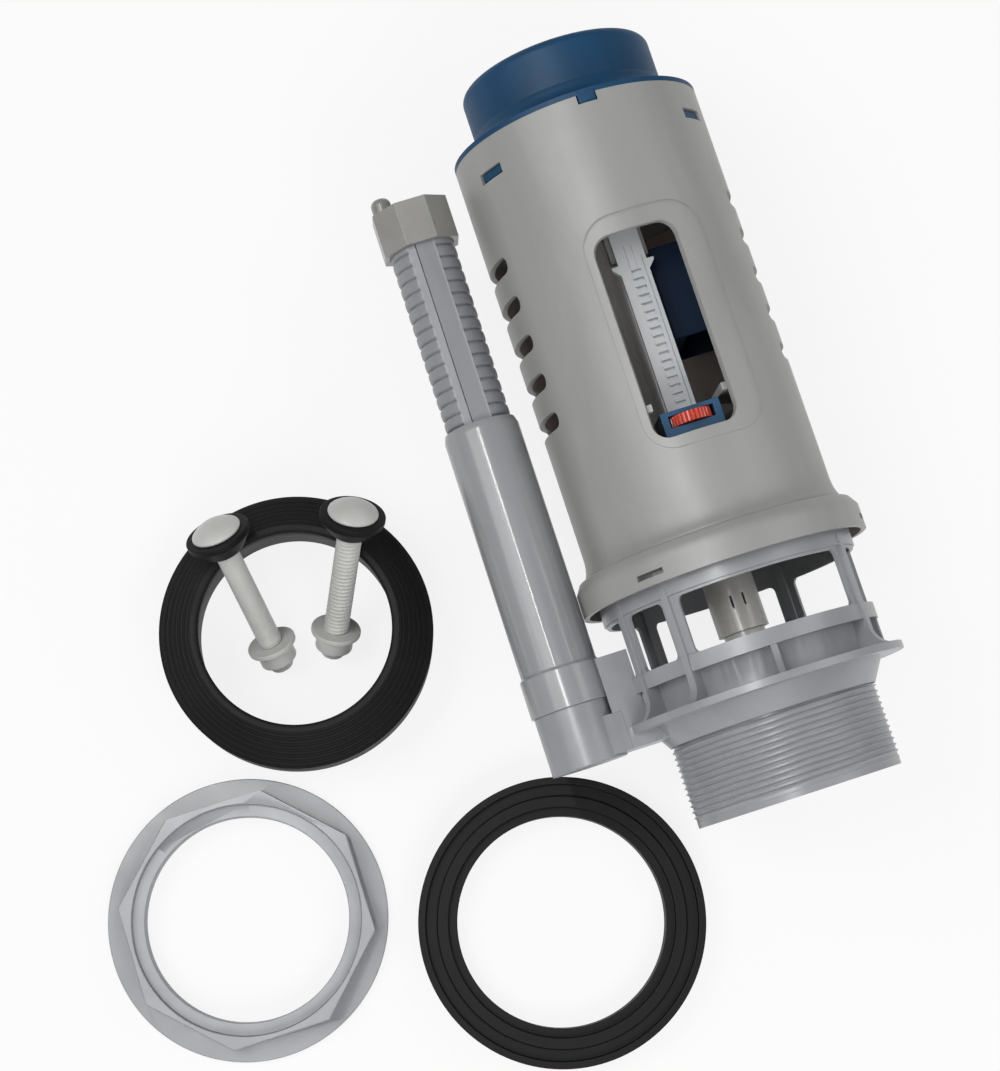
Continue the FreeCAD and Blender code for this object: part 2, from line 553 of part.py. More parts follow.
def make_cup():
    """The cup on top: flange, key, clipped skirt, button deck and the button opening."""
    cup = new_body("top_cup")
    skirt = "casing_radius - casing_wall - wall_gap"
    turn(cup, [
        ("0", "deck_level"), ("cup_radius - cup_wall", "deck_level"),
        ("cup_radius - cup_wall", "casing_top"), (skirt + " - skirt_wall", "casing_top"),
        (skirt + " - skirt_wall", "casing_top - skirt_depth"),
        (skirt, "casing_top - skirt_depth"), (skirt, "casing_top"),
        ("casing_radius", "casing_top"), ("casing_radius", "casing_top + cup_flange"),
        ("cup_radius", "casing_top + cup_flange"), ("cup_radius", "cup_top - cup_edge"),
        ("cup_radius - cup_edge", "cup_top", "cup_edge"),
        ("button_radius + button_gap", "cup_top"),
        ("button_radius + button_gap", "cup_top - cup_wall"),
        ("cup_radius - cup_wall", "cup_top - cup_wall"),
        ("cup_radius - cup_wall", "deck_level + deck_thickness"),
        ("0", "deck_level + deck_thickness"),
    ])
    key = outline(sketch_on(cup, "XZ_Plane", 0, skirt + " - skirt_wall / 2"), box_corners(
        "-key_width / 2", "key_width / 2", "casing_top - key_depth",
        "casing_top + cup_flange / 2"))
    extrude(cup, key, "casing_radius - wall_gap - (%s - skirt_wall / 2)" % skirt)
    for angle in CLIP_ANGLES:
        clip = outline(sketch_on(cup, "XZ_Plane", angle, skirt + " - skirt_wall / 2"),
                       box_corners("-clip_width / 2 + slide_gap", "clip_width / 2 - slide_gap",
                                   "clip_level - clip_height / 2 + slide_gap",
                                   "clip_level + clip_height / 2 - slide_gap"))
        extrude(cup, clip, "(skirt_wall + casing_wall) / 2 + wall_gap")
    holes = circles(sketch_on(cup, "XY_Plane", 0, "deck_level + deck_thickness + cut_over"),
                    ("0", "full_plunger", "plunger_radius + slide_gap"),
                    ("0", "-half_plunger", "plunger_radius + slide_gap"))
    extrude(cup, holes, "deck_thickness + 2 * cut_over", "Pocket")
    lie_down(cup)
    return cup


def make_button(label, side, plunger, low):
    """Half of the round push plate, with a lip under the cup's edge and a plunger."""
    button = new_body(label)
    chord = "(button_split + %d * button_gap / 2)" % side
    lip_top = "cup_top - cup_wall - lip_gap"
    for radius, top in (("button_radius", "cup_top - button_sink"), ("lip_radius", lip_top)):
        end = "sqrt(%s ^ 2 - %s ^ 2)" % (radius, chord)
        corners = [("%d * %s" % (side, end), chord), ("0", "%d * %s" % (side, radius), radius),
                   ("-%d * %s" % (side, end), chord, radius)]
        plate = sketch_on(button, "XY_Plane", 0, lip_top + " - lip_thickness")
        extrude(button, outline(plate, corners), "%s - (%s - lip_thickness)" % (top, lip_top))
    shaft = circles(sketch_on(button, "XY_Plane", 0, "%s + tip_length" % low),
                    ("0", plunger, "plunger_radius"))
    extrude(button, shaft, "%s - lip_thickness / 2 - (%s + tip_length)" % (lip_top, low))
    tip = circles(sketch_on(button, "XY_Plane", 0, low), ("0", plunger, "tip_radius"))
    extrude(button, tip, "tip_length + cut_over")
    lie_down(button)
    return button


def make_spring(label, place):
    """A round-wire coil between the deck and a button's lip."""
    low = "deck_level + deck_thickness + spring_wire"
    high = "cup_top - cup_wall - lip_gap - lip_thickness - spring_wire"
    tall, radius = value("%s - (%s)" % (high, low)), value("spring_radius")
    path = Part.makeHelix(tall / value("spring_turns"), tall, radius)
    section = Part.makeCircle(value("spring_wire"), Vector(radius, 0, 0), Vector(0, 1, 0))
    spring = doc.addObject("Part::Feature", label)
    spring.Label = label
    spring.Shape = Part.Wire(path).makePipeShell([Part.Wire(section)], True, True)
    lie_down(spring)
    bind(spring, "Placement.Base.y", "%s - lead_in" % low)
    bind(spring, "Placement.Base.z", "-(%s)" % place)
    return spring


def make_frame():
    """The plate under the cup that guides stem and rod and holds the lever's pin."""
    frame = new_body("inner_frame")
    bore = "stem_radius + bush_gap"
    top = "frame_level + frame_thickness"
    turn(frame, [
        (bore, "frame_level"), ("casing_radius - casing_wall - wall_gap", "frame_level"),
        ("casing_radius - casing_wall - wall_gap", top), (bore + " + bush_wall", top),
        (bore + " + bush_wall", "frame_level + bush_height"),
        (bore, "frame_level + bush_height"),
    ])
    for away in ("cheek_gap + lever_inside + lever_thickness",
                 "-(cheek_gap + lever_inside + lever_thickness + cheek_thickness)"):
        low, high = "frame_level + frame_thickness / 2", PIVOT_LEVEL + " + cheek_top"
        cheek = outline(sketch_on(frame, "YZ_Plane", 0, away), [
            ("pivot_back - cheek_foot", low), ("pivot_back + cheek_foot", low),
            ("pivot_back + cheek_top", high), ("pivot_back - cheek_top", high),
        ])
        extrude(frame, cheek, "cheek_thickness")
    pin = circles(sketch_on(frame, "YZ_Plane", 0, "casing_radius"),
                  ("pivot_back", PIVOT_LEVEL, "pin_radius"))
    extrude(frame, pin, "2 * casing_radius", "Pocket")
    gate = outline(sketch_on(frame, "XY_Plane", 0, top + " + cut_over"), box_corners(
        "-carrier_width / 2 - slide_gap", "carrier_width / 2 + slide_gap",
        "-rod_front - slide_gap", "-rod_front + rod_thickness + carrier_thickness + slide_gap"))
    extrude(frame, gate, "frame_thickness + 2 * cut_over", "Pocket")
    vents = circles(sketch_on(frame, "XY_Plane", 0, top + " + cut_over"),
                    ("-vent_place", "0", "vent_radius"), ("vent_place", "0", "vent_radius"))
    extrude(frame, vents, "frame_thickness + 2 * cut_over", "Pocket")
    lie_down(frame)
    return frame


def make_lever():
    """The forked lever and the pin it turns on."""
    lever = new_body("full_lever")
    outer = "lever_inside + lever_thickness"
    low = "stem_top - lever_gap - lever_height"
    fork = outline(sketch_on(lever, "XY_Plane", 0, low), [
        ("-(%s)" % outer, "pivot_back - lever_inner"),
        ("-lever_inside", "pivot_back - lever_inner"),
        ("-lever_inside", "pivot_back + lever_outer - lever_bridge"),
        ("lever_inside", "pivot_back + lever_outer - lever_bridge"),
        ("lever_inside", "pivot_back - lever_inner"), (outer, "pivot_back - lever_inner"),
        (outer, "pivot_back + lever_outer"), ("-(%s)" % outer, "pivot_back + lever_outer"),
    ])
    extrude(lever, fork, "lever_height")
    hole = circles(sketch_on(lever, "YZ_Plane", 0, "casing_radius"),
                   ("pivot_back", PIVOT_LEVEL, "pin_radius + pin_gap"))
    extrude(lever, hole, "2 * casing_radius", "Pocket")
    pin = new_body("lever_pin")
    half = "(%s + cheek_gap + cheek_thickness)" % outer
    rod = circles(sketch_on(pin, "YZ_Plane", 0, "-%s" % half),
                  ("pivot_back", PIVOT_LEVEL, "pin_radius"))
    extrude(pin, rod, "2 * %s" % half)
    for piece in (lever, pin):
        lie_down(piece)
    return lever, pin


def make_stem():
    """Stem tube, seal plate, seal, keeper, lifting head and float: what the lever raises."""
    tube = new_body("stem_tube")
    turn(tube, box_corners("stem_radius - stem_wall", "stem_radius", "stem_bottom", "stem_top"))
    snaps = sketch_on(tube, "XZ_Plane", 0, "stem_radius + cut_over")
    for side in ("-1", "1"):
        middle = "%s * snap_spread" % side
        outline(snaps, box_corners(middle + " - snap_width / 2", middle + " + snap_width / 2",
                                   "snap_level", "snap_level + snap_height"))
    extrude(tube, snaps, "stem_radius / 2", "Pocket")

    plate = new_body("seal_plate")
    plug = "stem_radius - stem_wall - plug_gap"
    sealed = "seat_height + seal_thickness"
    turn(plate, [
        ("0", "seat_height"), ("seal_inner - plug_gap", "seat_height"),
        ("seal_inner - plug_gap", sealed), ("plate_radius", sealed),
        ("plate_radius", sealed + " + plate_thickness"), (plug, sealed + " + plate_thickness"),
        (plug, "stem_bottom + plug_length"), ("0", "stem_bottom + plug_length"),
    ])
    seal = new_body("flush_seal")
    turn(seal, box_corners("seal_inner", "seal_radius", "seat_height", sealed))
    keeper = new_body("seal_keeper")
    turn(keeper, [
        ("0", "seat_height - keeper_thickness"),
        ("keeper_radius - keeper_edge", "seat_height - keeper_thickness"),
        ("keeper_radius", "seat_height - keeper_thickness + keeper_edge"),
        ("keeper_radius", "seat_height"),
        ("0", "seat_height"),
    ])
    head = new_body("stem_head")
    bridge = outline(sketch_on(head, "XY_Plane", 0, "stem_top"), box_corners(
        "-head_reach", "head_reach", "-head_front", "head_back"))
    extrude(head, bridge, "head_thickness")
    peg = circles(sketch_on(head, "XY_Plane", 0, "stem_top - plug_length"), ("0", "0", plug))
    extrude(head, peg, "plug_length + head_thickness / 2")

    block = new_body("float_block")
    box = outline(sketch_on(block, "XY_Plane", 0, "float_bottom"), box_corners(
        "float_left", "float_right", "-float_front", "float_back"))
    extrude(block, box, "float_height")
    hollow = outline(sketch_on(block, "XY_Plane", 0, "float_bottom + float_height - float_wall"),
                     box_corners("stem_radius + float_ring", "float_right - float_wall",
                                 "-float_front + float_wall", "float_back - float_wall"))
    extrude(block, hollow, "float_height", "Pocket")
    hole = circles(sketch_on(block, "XY_Plane", 0, "float_bottom + float_height + cut_over"),
                   ("0", "0", "stem_radius + pin_gap"))
    extrude(block, hole, "float_height + 2 * cut_over", "Pocket")
    pieces = (tube, plate, seal, keeper, head, block)
    for piece in pieces:
        lie_down(piece)
    return pieces


def make_rod():
    """The notched level rod and the carrier that hangs it below the half-flush button."""
    rod = new_body("level_rod")
    strip = outline(sketch_on(rod, "XZ_Plane", 0, "rod_front - rod_thickness"), [
        ("-rod_width / 2", "rod_bottom"), ("rod_width / 2", "rod_bottom"),
        ("rod_width / 2", "ear_level - ear_height / 2"),
        ("ear_span / 2", "ear_level + ear_height / 4"),
        ("ear_span / 2", "ear_level + ear_height / 2"),
        ("rod_width / 2", "ear_level + ear_height / 2"), ("rod_width / 2", "rod_top"),
        ("-rod_width / 2", "rod_top"), ("-rod_width / 2", "ear_level + ear_height / 2"),
        ("-ear_span / 2", "ear_level + ear_height / 2"),
        ("-ear_span / 2", "ear_level + ear_height / 4"),
        ("-rod_width / 2", "ear_level - ear_height / 2"),
    ])
    extrude(rod, strip, "rod_thickness")
    tip = "groove_width / 2 + notch_width"
    notch = outline(sketch_on(rod, "XZ_Plane", 0, "rod_front + cut_over"), [
        ("groove_width / 2", "notch_first"), (tip, "notch_first"),
        (tip, "notch_first + notch_height * 2"),
        (tip + " - notch_height", "notch_first + notch_height * 2"),
        (tip + " - notch_height", "notch_first + notch_height"),
        ("groove_width / 2", "notch_first + notch_height"),
    ])
    cut = extrude(rod, notch, "cut_over + notch_depth", "Pocket")
    repeat(rod, cut, "notch_pitch", "notch_count")
    line = outline(sketch_on(rod, "XZ_Plane", 0, "rod_front + cut_over"), box_corners(
        "-groove_width / 2", "groove_width / 2",
        "notch_first + notch_pitch * notch_count", "rod_top + cut_over"))
    extrude(rod, line, "cut_over + groove_depth", "Pocket")

    carrier = new_body("rod_carrier")
    back = "rod_front - rod_thickness - carrier_thickness"
    blade = outline(sketch_on(carrier, "XZ_Plane", 0, back), box_corners(
        "-carrier_width / 2", "carrier_width / 2", "carrier_bottom", "carrier_top"))
    extrude(carrier, blade, "carrier_thickness")
    foot = outline(sketch_on(carrier, "XY_Plane", 0, "carrier_top - rod_thickness"),
                   box_corners("-carrier_width / 3", "carrier_width / 3",
                               "-(%s) - carrier_thickness / 2" % back,
                               "-(%s) + carrier_foot" % back))
    extrude(carrier, foot, "rod_thickness")
    for piece in (rod, carrier):
        lie_down(piece)
    return rod, carrier


def make_carriage():
    """The sliding frame on the rod, its axle and the knurled wheel."""
    frame = new_body("adjuster_frame")
    back = "rod_front - rod_thickness - slide_gap"
    place = "(rod_front + wheel_gap + wheel_radius)"
    box = outline(sketch_on(frame, "XY_Plane", 0, "carriage_bottom"), box_corners(
        "-carriage_width / 2", "carriage_width / 2", "-carriage_front",
        "-(%s) + carriage_wall" % back))
    extrude(frame, box, "carriage_height")
    cavity = outline(sketch_on(frame, "XZ_Plane", 0, "carriage_front + cut_over"), box_corners(
        "-wheel_radius - wheel_gap", "wheel_radius + wheel_gap",
        "wheel_level - wheel_thickness / 2 - slide_gap",
        "wheel_level + wheel_thickness / 2 + slide_gap"))
    extrude(frame, cavity, "carriage_front + cut_over - rod_front", "Pocket")
    top = "carriage_bottom + carriage_height + cut_over"
    slot = outline(sketch_on(frame, "XY_Plane", 0, top),
                   box_corners("-rod_width / 2 - slide_gap", "rod_width / 2 + slide_gap",
                               "-rod_front - slide_gap", "-(%s)" % back))
    extrude(frame, slot, "carriage_height + 2 * cut_over", "Pocket")
    hole = circles(sketch_on(frame, "XY_Plane", 0, top), ("0", "-" + place, "axle_radius"))
    extrude(frame, hole, "carriage_height + 2 * cut_over", "Pocket")

    axle = new_body("wheel_axle")
    extrude(axle, circles(sketch_on(axle, "XY_Plane", 0, "carriage_bottom"),
                          ("0", "-" + place, "axle_radius")), "carriage_height")

    wheel = new_body("adjuster_wheel")
    disc = circles(sketch_on(wheel, "XY_Plane", 0, "wheel_level - wheel_thickness / 2"),
                   ("0", "0", "wheel_radius"), ("0", "0", "axle_radius + pin_gap"))
    extrude(wheel, disc, "wheel_thickness")
    tooth = outline(sketch_on(wheel, "XY_Plane", 0, "wheel_level + wheel_thickness"), [
        ("wheel_radius - tooth_depth", "0"), ("wheel_radius + cut_over", "tooth_half"),
        ("wheel_radius + cut_over", "-tooth_half")])
    cut = extrude(wheel, tooth, "2 * wheel_thickness", "Pocket")
    knurl = wheel.newObject("PartDesign::PolarPattern", "knurl")
    knurl.Originals = [cut]
    knurl.Axis = (tooth, ["N_Axis"])
    knurl.Angle = 360
    bind(knurl, "Occurrences", "wheel_teeth")
    wheel.Tip = knurl
    for piece in (frame, axle, wheel):
        lie_down(piece)
    bind(wheel, "Placement.Base.z", place)
    return frame, axle, wheel


def make_guides():
    """The two plates in the casing: the lower stem guide and the ledge plate above it."""
    guide = new_body("stem_guide")
    outer = "casing_radius - casing_wall - wall_gap"
    turn(guide, [
        ("stem_radius + bush_gap", "guide_level"), (outer, "guide_level"),
        (outer, "guide_level + guide_thickness"),
        ("stem_radius + bush_gap + bush_wall", "guide_level + guide_thickness"),
        ("stem_radius + bush_gap + bush_wall", "guide_level + bush_height"),
        ("stem_radius + bush_gap", "guide_level + bush_height"),
    ])
    vents = sketch_on(guide, "XY_Plane", 0, "guide_level + guide_thickness + cut_over")
    for x, y in ((1, 1), (-1, 1), (-1, -1), (1, -1)):
        circles(vents, ("%d * guide_vent_place" % x, "%d * guide_vent_place" % y, "vent_radius"))
    extrude(guide, vents, "guide_thickness + 2 * cut_over", "Pocket")
    plate = new_body("ledge_plate")
    turn(plate, box_corners("ledge_hole", outer, "ledge_level", "ledge_level + ledge_thickness"))
    gate = outline(sketch_on(plate, "XY_Plane", 0, "ledge_level + ledge_thickness + cut_over"),
                   box_corners("-passage_width / 2", "passage_width / 2", "-casing_radius",
                               "-passage_back"))
    extrude(plate, gate, "ledge_thickness + 2 * cut_over", "Pocket")
    for piece in (guide, plate):
        lie_down(piece)
    return guide, plate


def make_seal_ring():
    """The stepped ring washer that lies in front of the valve."""
    ring = new_body("seal_ring")
    inner = "washer_inner + washer_edge"
    bead = "washer_height - washer_rise"
    turn(ring, [
        ("washer_inner", "0"), ("washer_outer", "0"), ("washer_outer", "washer_height"),
        ("washer_outer - washer_lip", "washer_height"),
        ("washer_outer - washer_lip", "washer_height - washer_step"),
        (inner + " + washer_bead", "washer_height - washer_step"),
        (inner + " + washer_bead", bead), (inner, bead),
        (inner, bead + " - washer_step"), ("washer_inner", bead + " - washer_step"),
    ])
    set_on_bench(ring, "washer_across", "washer_along")
    return ring


def make_lock_nut():
    """The flanged eight-sided nut for the shank, with its inner thread."""
    nut = new_body("lock_nut")
    flange = circles(sketch_on(nut, "XY_Plane"), ("0", "0", "nut_flange_radius"))
    extrude(nut, flange, "nut_flange")
    corners = [("nut_corner * cos(%s deg)" % (45 * side + NUT_TURN),
                "nut_corner * sin(%s deg)" % (45 * side + NUT_TURN)) for side in range(8)]
    extrude(nut, outline(sketch_on(nut, "XY_Plane"), corners), "nut_height")
    bore = "thread_radius - thread_depth + nut_gap"
    turn(nut, [
        ("0", "-cut_over"), (bore, "-cut_over"), (bore, "nut_height - nut_recess"),
        ("nut_mouth", "nut_height - nut_recess"), ("nut_mouth", "nut_height + cut_over"),
        ("0", "nut_height + cut_over"),
    ], feature="Groove")
    valleys = []
    for valley in range(int(value("nut_turns"))):
        middle = "nut_lead + thread_pitch * %d" % valley
        valleys.append([(bore + " - thread_over", middle + " - thread_pitch / 3"),
                        ("thread_radius + nut_gap", middle),
                        (bore + " - thread_over", middle + " + thread_pitch / 3")])
    turn(nut, *valleys, feature="Groove")
    set_on_bench(nut, "nut_across", "nut_along")
    return nut


def make_gasket():
    """The thick conical gasket that goes between cistern and bowl."""
    gasket = new_body("bowl_gasket")
    turn(gasket, [
        ("gasket_inner + gasket_draft", "0"), ("gasket_outer", "0"),
        ("gasket_outer", "gasket_side"), ("gasket_top", "gasket_height"),
        ("gasket_inner", "gasket_height"),
    ])
    set_on_bench(gasket, "gasket_across", "gasket_along")
    return gasket


def find_lean(side):
    """The lean in degrees at which a bolt, its tail on the bench, just clears the gasket."""
    heading = math.radians(value(side + "_heading"))
    reach = value("bolt_radius + bench_gap")
    tail = Vector(value(side + "_tail_across"), value(side + "_tail_along"), 0)
    middle = Vector(value("gasket_across"), value("gasket_along"), value("gasket_height"))
    rim = [middle + Vector(math.cos(a), math.sin(a), 0) * value("gasket_inner")
           for a in (heading + math.radians(step) for step in RIM_SPREAD)]
    for lean in LEANS:
        slope = math.radians(lean)
        axis = Vector(math.cos(heading) * math.cos(slope), math.sin(heading) * math.cos(slope),
                      math.sin(slope))
        start = tail + Vector(0, 0, value("bolt_radius") * math.cos(slope))
        if min((point - start).cross(axis).Length for point in rim) < reach:
            break
    return lean + LEAN_STEP


def make_bolt(side):
    """A tank bolt with its rubber cone under the head and its nut near the tail."""
    hole = "bolt_radius + bolt_fit"
    dome = "(bolt_head_height - bolt_head_rim)"
    bolt = new_body("tank_bolt_" + side)
    turn(bolt, [
        ("0", "0"), ("bolt_radius - bolt_lead", "0"), ("bolt_radius", "bolt_lead"),
        ("bolt_radius", "bolt_length"), ("bolt_head", "bolt_length"),
        ("bolt_head", "bolt_length + bolt_head_rim"),
        ("0", "bolt_length + bolt_head_height", "(bolt_head ^ 2 + %s ^ 2) / (2 * %s)" % (dome, dome)),
    ])
    cone = new_body("bolt_washer_" + side)
    turn(cone, [
        (hole, "bolt_length - cone_height"), ("cone_tip", "bolt_length - cone_height"),
        ("cone_radius", "bolt_length - cone_rim"), ("cone_radius", "bolt_length"),
        (hole, "bolt_length"),
    ])
    nut = new_body("bolt_nut_" + side)
    shoulder = "bolt_nut_place + bolt_nut_height - bolt_nut_rim"
    turn(nut, [
        (hole, "bolt_nut_place"), ("bolt_nut_radius", "bolt_nut_place"),
        ("bolt_nut_radius", shoulder), ("bolt_nut_flange", shoulder),
        ("bolt_nut_flange", "bolt_nut_place + bolt_nut_height"),
        (hole, "bolt_nut_place + bolt_nut_height"),
    ])
    lean, heading = find_lean(side), value(side + "_heading")
    turned = Rotation(Vector(0, 0, 1), heading).multiply(Rotation(Vector(0, 1, 0), 90 - lean))
    for piece in (bolt, cone, nut):
        piece.Placement = Placement(Vector(), turned)
        bind(piece, "Placement.Base.x", side + "_tail_across")
        bind(piece, "Placement.Base.y", side + "_tail_along")
        bind(piece, "Placement.Base.z", "bolt_radius * cos(%.1f deg) - collar_radius" % lean)
    return bolt, cone, nut


pieces = [*make_overflow(), *make_base(), make_casing(), make_cup()]
pieces += [make_button("full_button", 1, "full_plunger", "stem_top - lever_gap + plunger_gap"),
           make_button("half_button", -1, "-half_plunger", "carrier_top + plunger_gap"),
           make_spring("full_spring", "full_plunger"), make_spring("half_spring", "-half_plunger")]
pieces += [make_frame(), *make_lever(), *make_stem(), *make_rod(), *make_carriage(),
           *make_guides()]
pieces += [make_seal_ring(), make_lock_nut(), make_gasket(), *make_bolt("left"),
           *make_bolt("right")]

doc.recompute()
for thing in doc.Objects:
    if "Invalid" in thing.State or "Error" in thing.State:
        raise RuntimeError("%s is %s" % (thing.Name, thing.State))
os.makedirs("parts", exist_ok=True)
for piece in pieces:
    if piece.Shape.isNull() or not piece.Shape.isValid():
        raise RuntimeError("%s has no valid shape" % piece.Label)
    piece.Shape.exportStep("parts/%s.step" % piece.Label)
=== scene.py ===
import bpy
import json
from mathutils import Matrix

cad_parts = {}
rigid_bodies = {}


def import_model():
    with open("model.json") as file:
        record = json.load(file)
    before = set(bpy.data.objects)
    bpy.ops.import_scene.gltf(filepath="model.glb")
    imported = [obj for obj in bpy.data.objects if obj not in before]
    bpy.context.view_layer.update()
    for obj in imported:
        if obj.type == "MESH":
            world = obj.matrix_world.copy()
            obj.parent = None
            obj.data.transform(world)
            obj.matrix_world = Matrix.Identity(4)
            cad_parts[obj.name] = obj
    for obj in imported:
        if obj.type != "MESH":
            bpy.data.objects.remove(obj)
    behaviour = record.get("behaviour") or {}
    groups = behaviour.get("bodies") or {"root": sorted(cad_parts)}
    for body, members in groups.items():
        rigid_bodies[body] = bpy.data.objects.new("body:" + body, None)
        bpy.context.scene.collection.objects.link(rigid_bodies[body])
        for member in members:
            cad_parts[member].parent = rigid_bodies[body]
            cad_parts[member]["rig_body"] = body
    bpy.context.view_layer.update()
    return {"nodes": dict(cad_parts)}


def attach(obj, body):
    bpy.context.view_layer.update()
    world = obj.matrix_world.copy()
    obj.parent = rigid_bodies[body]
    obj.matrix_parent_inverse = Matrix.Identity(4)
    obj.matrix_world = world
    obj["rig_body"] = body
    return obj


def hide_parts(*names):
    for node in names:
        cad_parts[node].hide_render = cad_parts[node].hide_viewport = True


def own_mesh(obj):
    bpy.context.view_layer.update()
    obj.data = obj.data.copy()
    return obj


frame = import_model()

import json
import math

import bmesh
import bpy
import numpy as np
from mathutils import Matrix, Vector

nodes = frame["nodes"]

# Numbers are millimetres and degrees, unless a line says metres. Turns go round the valve's
# axis from the window towards the right, heights count from the shank's open end.

# The bench is plain and white. The collar and the loose kit end 0.3 mm above it, so that no
# two faces share a plane. The bench is only a stage, not part of the object.
KIT_FLOOR = -57.0
BENCH_TOP = -57.3


def put_mesh(name, points, faces, sharp=35.0):
    """A smooth mesh of metres from millimetre points. Points that coincide become one, and
    edges that bend by more than the sharp angle stay crisp."""
    mesh = bpy.data.meshes.new(name)
    mesh.from_pydata((np.asarray(points, float).reshape(-1, 3) / 1000).tolist(), [],
                     np.asarray(faces).tolist())
    work = bmesh.new()
    work.from_mesh(mesh)
    bmesh.ops.remove_doubles(work, verts=work.verts, dist=2e-6)
    bmesh.ops.recalc_face_normals(work, faces=work.faces)
    work.to_mesh(mesh)
    work.free()
    mesh.shade_smooth()
    mesh.set_sharp_from_angle(angle=math.radians(sharp))
    piece = bpy.data.objects.new(name, mesh)
    bpy.context.scene.collection.objects.link(piece)
    return piece


def grid_faces(rows, columns, close_rows=False, close_columns=True):
    """Quads between neighbouring rows and columns of a grid of points, counted row by row."""
    r = np.arange(rows if close_rows else rows - 1)[:, None]
    c = np.arange(columns if close_columns else columns - 1)[None, :]
    r2, c2 = (r + 1) % rows, (c + 1) % columns
    return np.stack([r * columns + c, r * columns + c2, r2 * columns + c2, r2 * columns + c],
                    axis=-1).reshape(-1, 4)


def screen_colour(code):
    """The light levels of a colour written as it looks on a screen: the power 2.4 curve."""
    parts = np.array([int(code[i:i + 2], 16) for i in (0, 2, 4)]) / 255
    levels = np.where(parts < 0.04045, parts / 12.92, ((parts + 0.055) / 1.055) ** 2.4)
    return (*levels.tolist(), 1.0)


def new_material(name):
    """A material with its shader, and two short ways to add a node and a link."""
    material = bpy.data.materials.new(name)
    material.use_nodes = True
    tree = material.node_tree
    shader = tree.nodes["Principled BSDF"]

    def node(kind, **settings):
        made = tree.nodes.new("ShaderNode" + kind)
        for key, value in settings.items():
            if key in made.inputs:
                made.inputs[key].default_value = value
            else:
                setattr(made, key, value)
        return made

    return material, shader, node, tree.links.new


def white_bench(level):
    """A pale bench that keeps its soft shadows and looks almost white to the camera: it is
    plain paint, and the level is the share of a glow that only camera and mirror rays meet."""
    material, shader, node, link = new_material("white_bench")
    shader.inputs["Base Color"].default_value = screen_colour("F2F2F0")
    shader.inputs["Roughness"].default_value = 0.9
    glow = node("Emission", Strength=1.0)
    glow.inputs["Color"].default_value = (1, 1, 1, 1)
    path = node("LightPath")
    seen = node("Math", operation="MAXIMUM")
    share = node("Math", operation="MULTIPLY")
    share.inputs[1].default_value = level
    mix = node("MixShader")
    out = material.node_tree.nodes["Material Output"]
    link(path.outputs["Is Camera Ray"], seen.inputs[0])
    link(path.outputs["Is Glossy Ray"], seen.inputs[1])
    link(seen.outputs[0], share.inputs[0])
    link(share.outputs[0], mix.inputs[0])
    link(shader.outputs[0], mix.inputs[1])
    link(glow.outputs[0], mix.inputs[2])
    link(mix.outputs[0], out.inputs["Surface"])
    return material


bench_reach = np.linspace(-1500, 1500, 5)
bench_x, bench_y = np.meshgrid(bench_reach, bench_reach)
bench = put_mesh("bench", np.stack([bench_x, bench_y, np.full_like(bench_x, BENCH_TOP)], -1),
                 grid_faces(5, 5, close_columns=False))
bench.data.materials.append(white_bench(0.84))

# Plain studio light: a soft panel from the upper left, a weaker one from the right, a low
# one by the shank, a long narrow one that draws the bright line on the tubes, a pale sky.


def soft_panel(name, place, aim, width, length, power):
    """A rectangular lamp at a place, turned towards its aim, both in metres. Its length runs
    along the valve."""
    lamp = bpy.data.lights.new(name, "AREA")
    lamp.shape = "RECTANGLE"
    lamp.size, lamp.size_y, lamp.energy = width, length, power
    holder = bpy.data.objects.new(name, lamp)
    away = (Vector(place) - Vector(aim)).normalized()
    side = Vector((0, 1, 0)).cross(away).normalized()
    turned = Matrix((side, away.cross(side), away)).transposed().to_4x4()
    holder.matrix_world = Matrix.Translation(place) @ turned
    bpy.context.scene.collection.objects.link(holder)
    return holder


soft_panel("key_panel", (-0.75, 0.45, 1.0), (-0.05, 0.12, 0), 0.7, 0.7, 6.1)
soft_panel("fill_panel", (0.9, 0.1, 0.9), (0.0, 0.1, 0), 0.6, 0.9, 3.7)
soft_panel("low_panel", (-0.15, -0.8, 0.8), (-0.05, 0.0, 0), 1.0, 0.5, 5.9)
line_panel = soft_panel("line_panel", (-0.28, 0.3, 0.95), (-0.03, 0.2, 0), 0.03, 0.8, 7.0)
line_panel.visible_diffuse = False

world = bpy.data.worlds.new("studio")
bpy.context.scene.world = world
world.use_nodes = True
sky = world.node_tree
sky_fill = sky.nodes["Background"]
sky_fill.inputs["Color"].default_value = (1, 1, 1, 1)
sky_fill.inputs["Strength"].default_value = 0.29
sky_white = sky.nodes.new("ShaderNodeBackground")
sky_white.inputs["Color"].default_value = (1, 1, 1, 1)
sky_white.inputs["Strength"].default_value = 1.0
sky_path = sky.nodes.new("ShaderNodeLightPath")
sky_mix = sky.nodes.new("ShaderNodeMixShader")
sky.links.new(sky_path.outputs["Is Camera Ray"], sky_mix.inputs[0])
sky.links.new(sky_fill.outputs[0], sky_mix.inputs[1])
sky.links.new(sky_white.outputs[0], sky_mix.inputs[2])
sky.links.new(sky_mix.outputs[0], sky.nodes["World Output"].inputs["Surface"])
bpy.context.scene.view_settings.view_transform = "Standard"

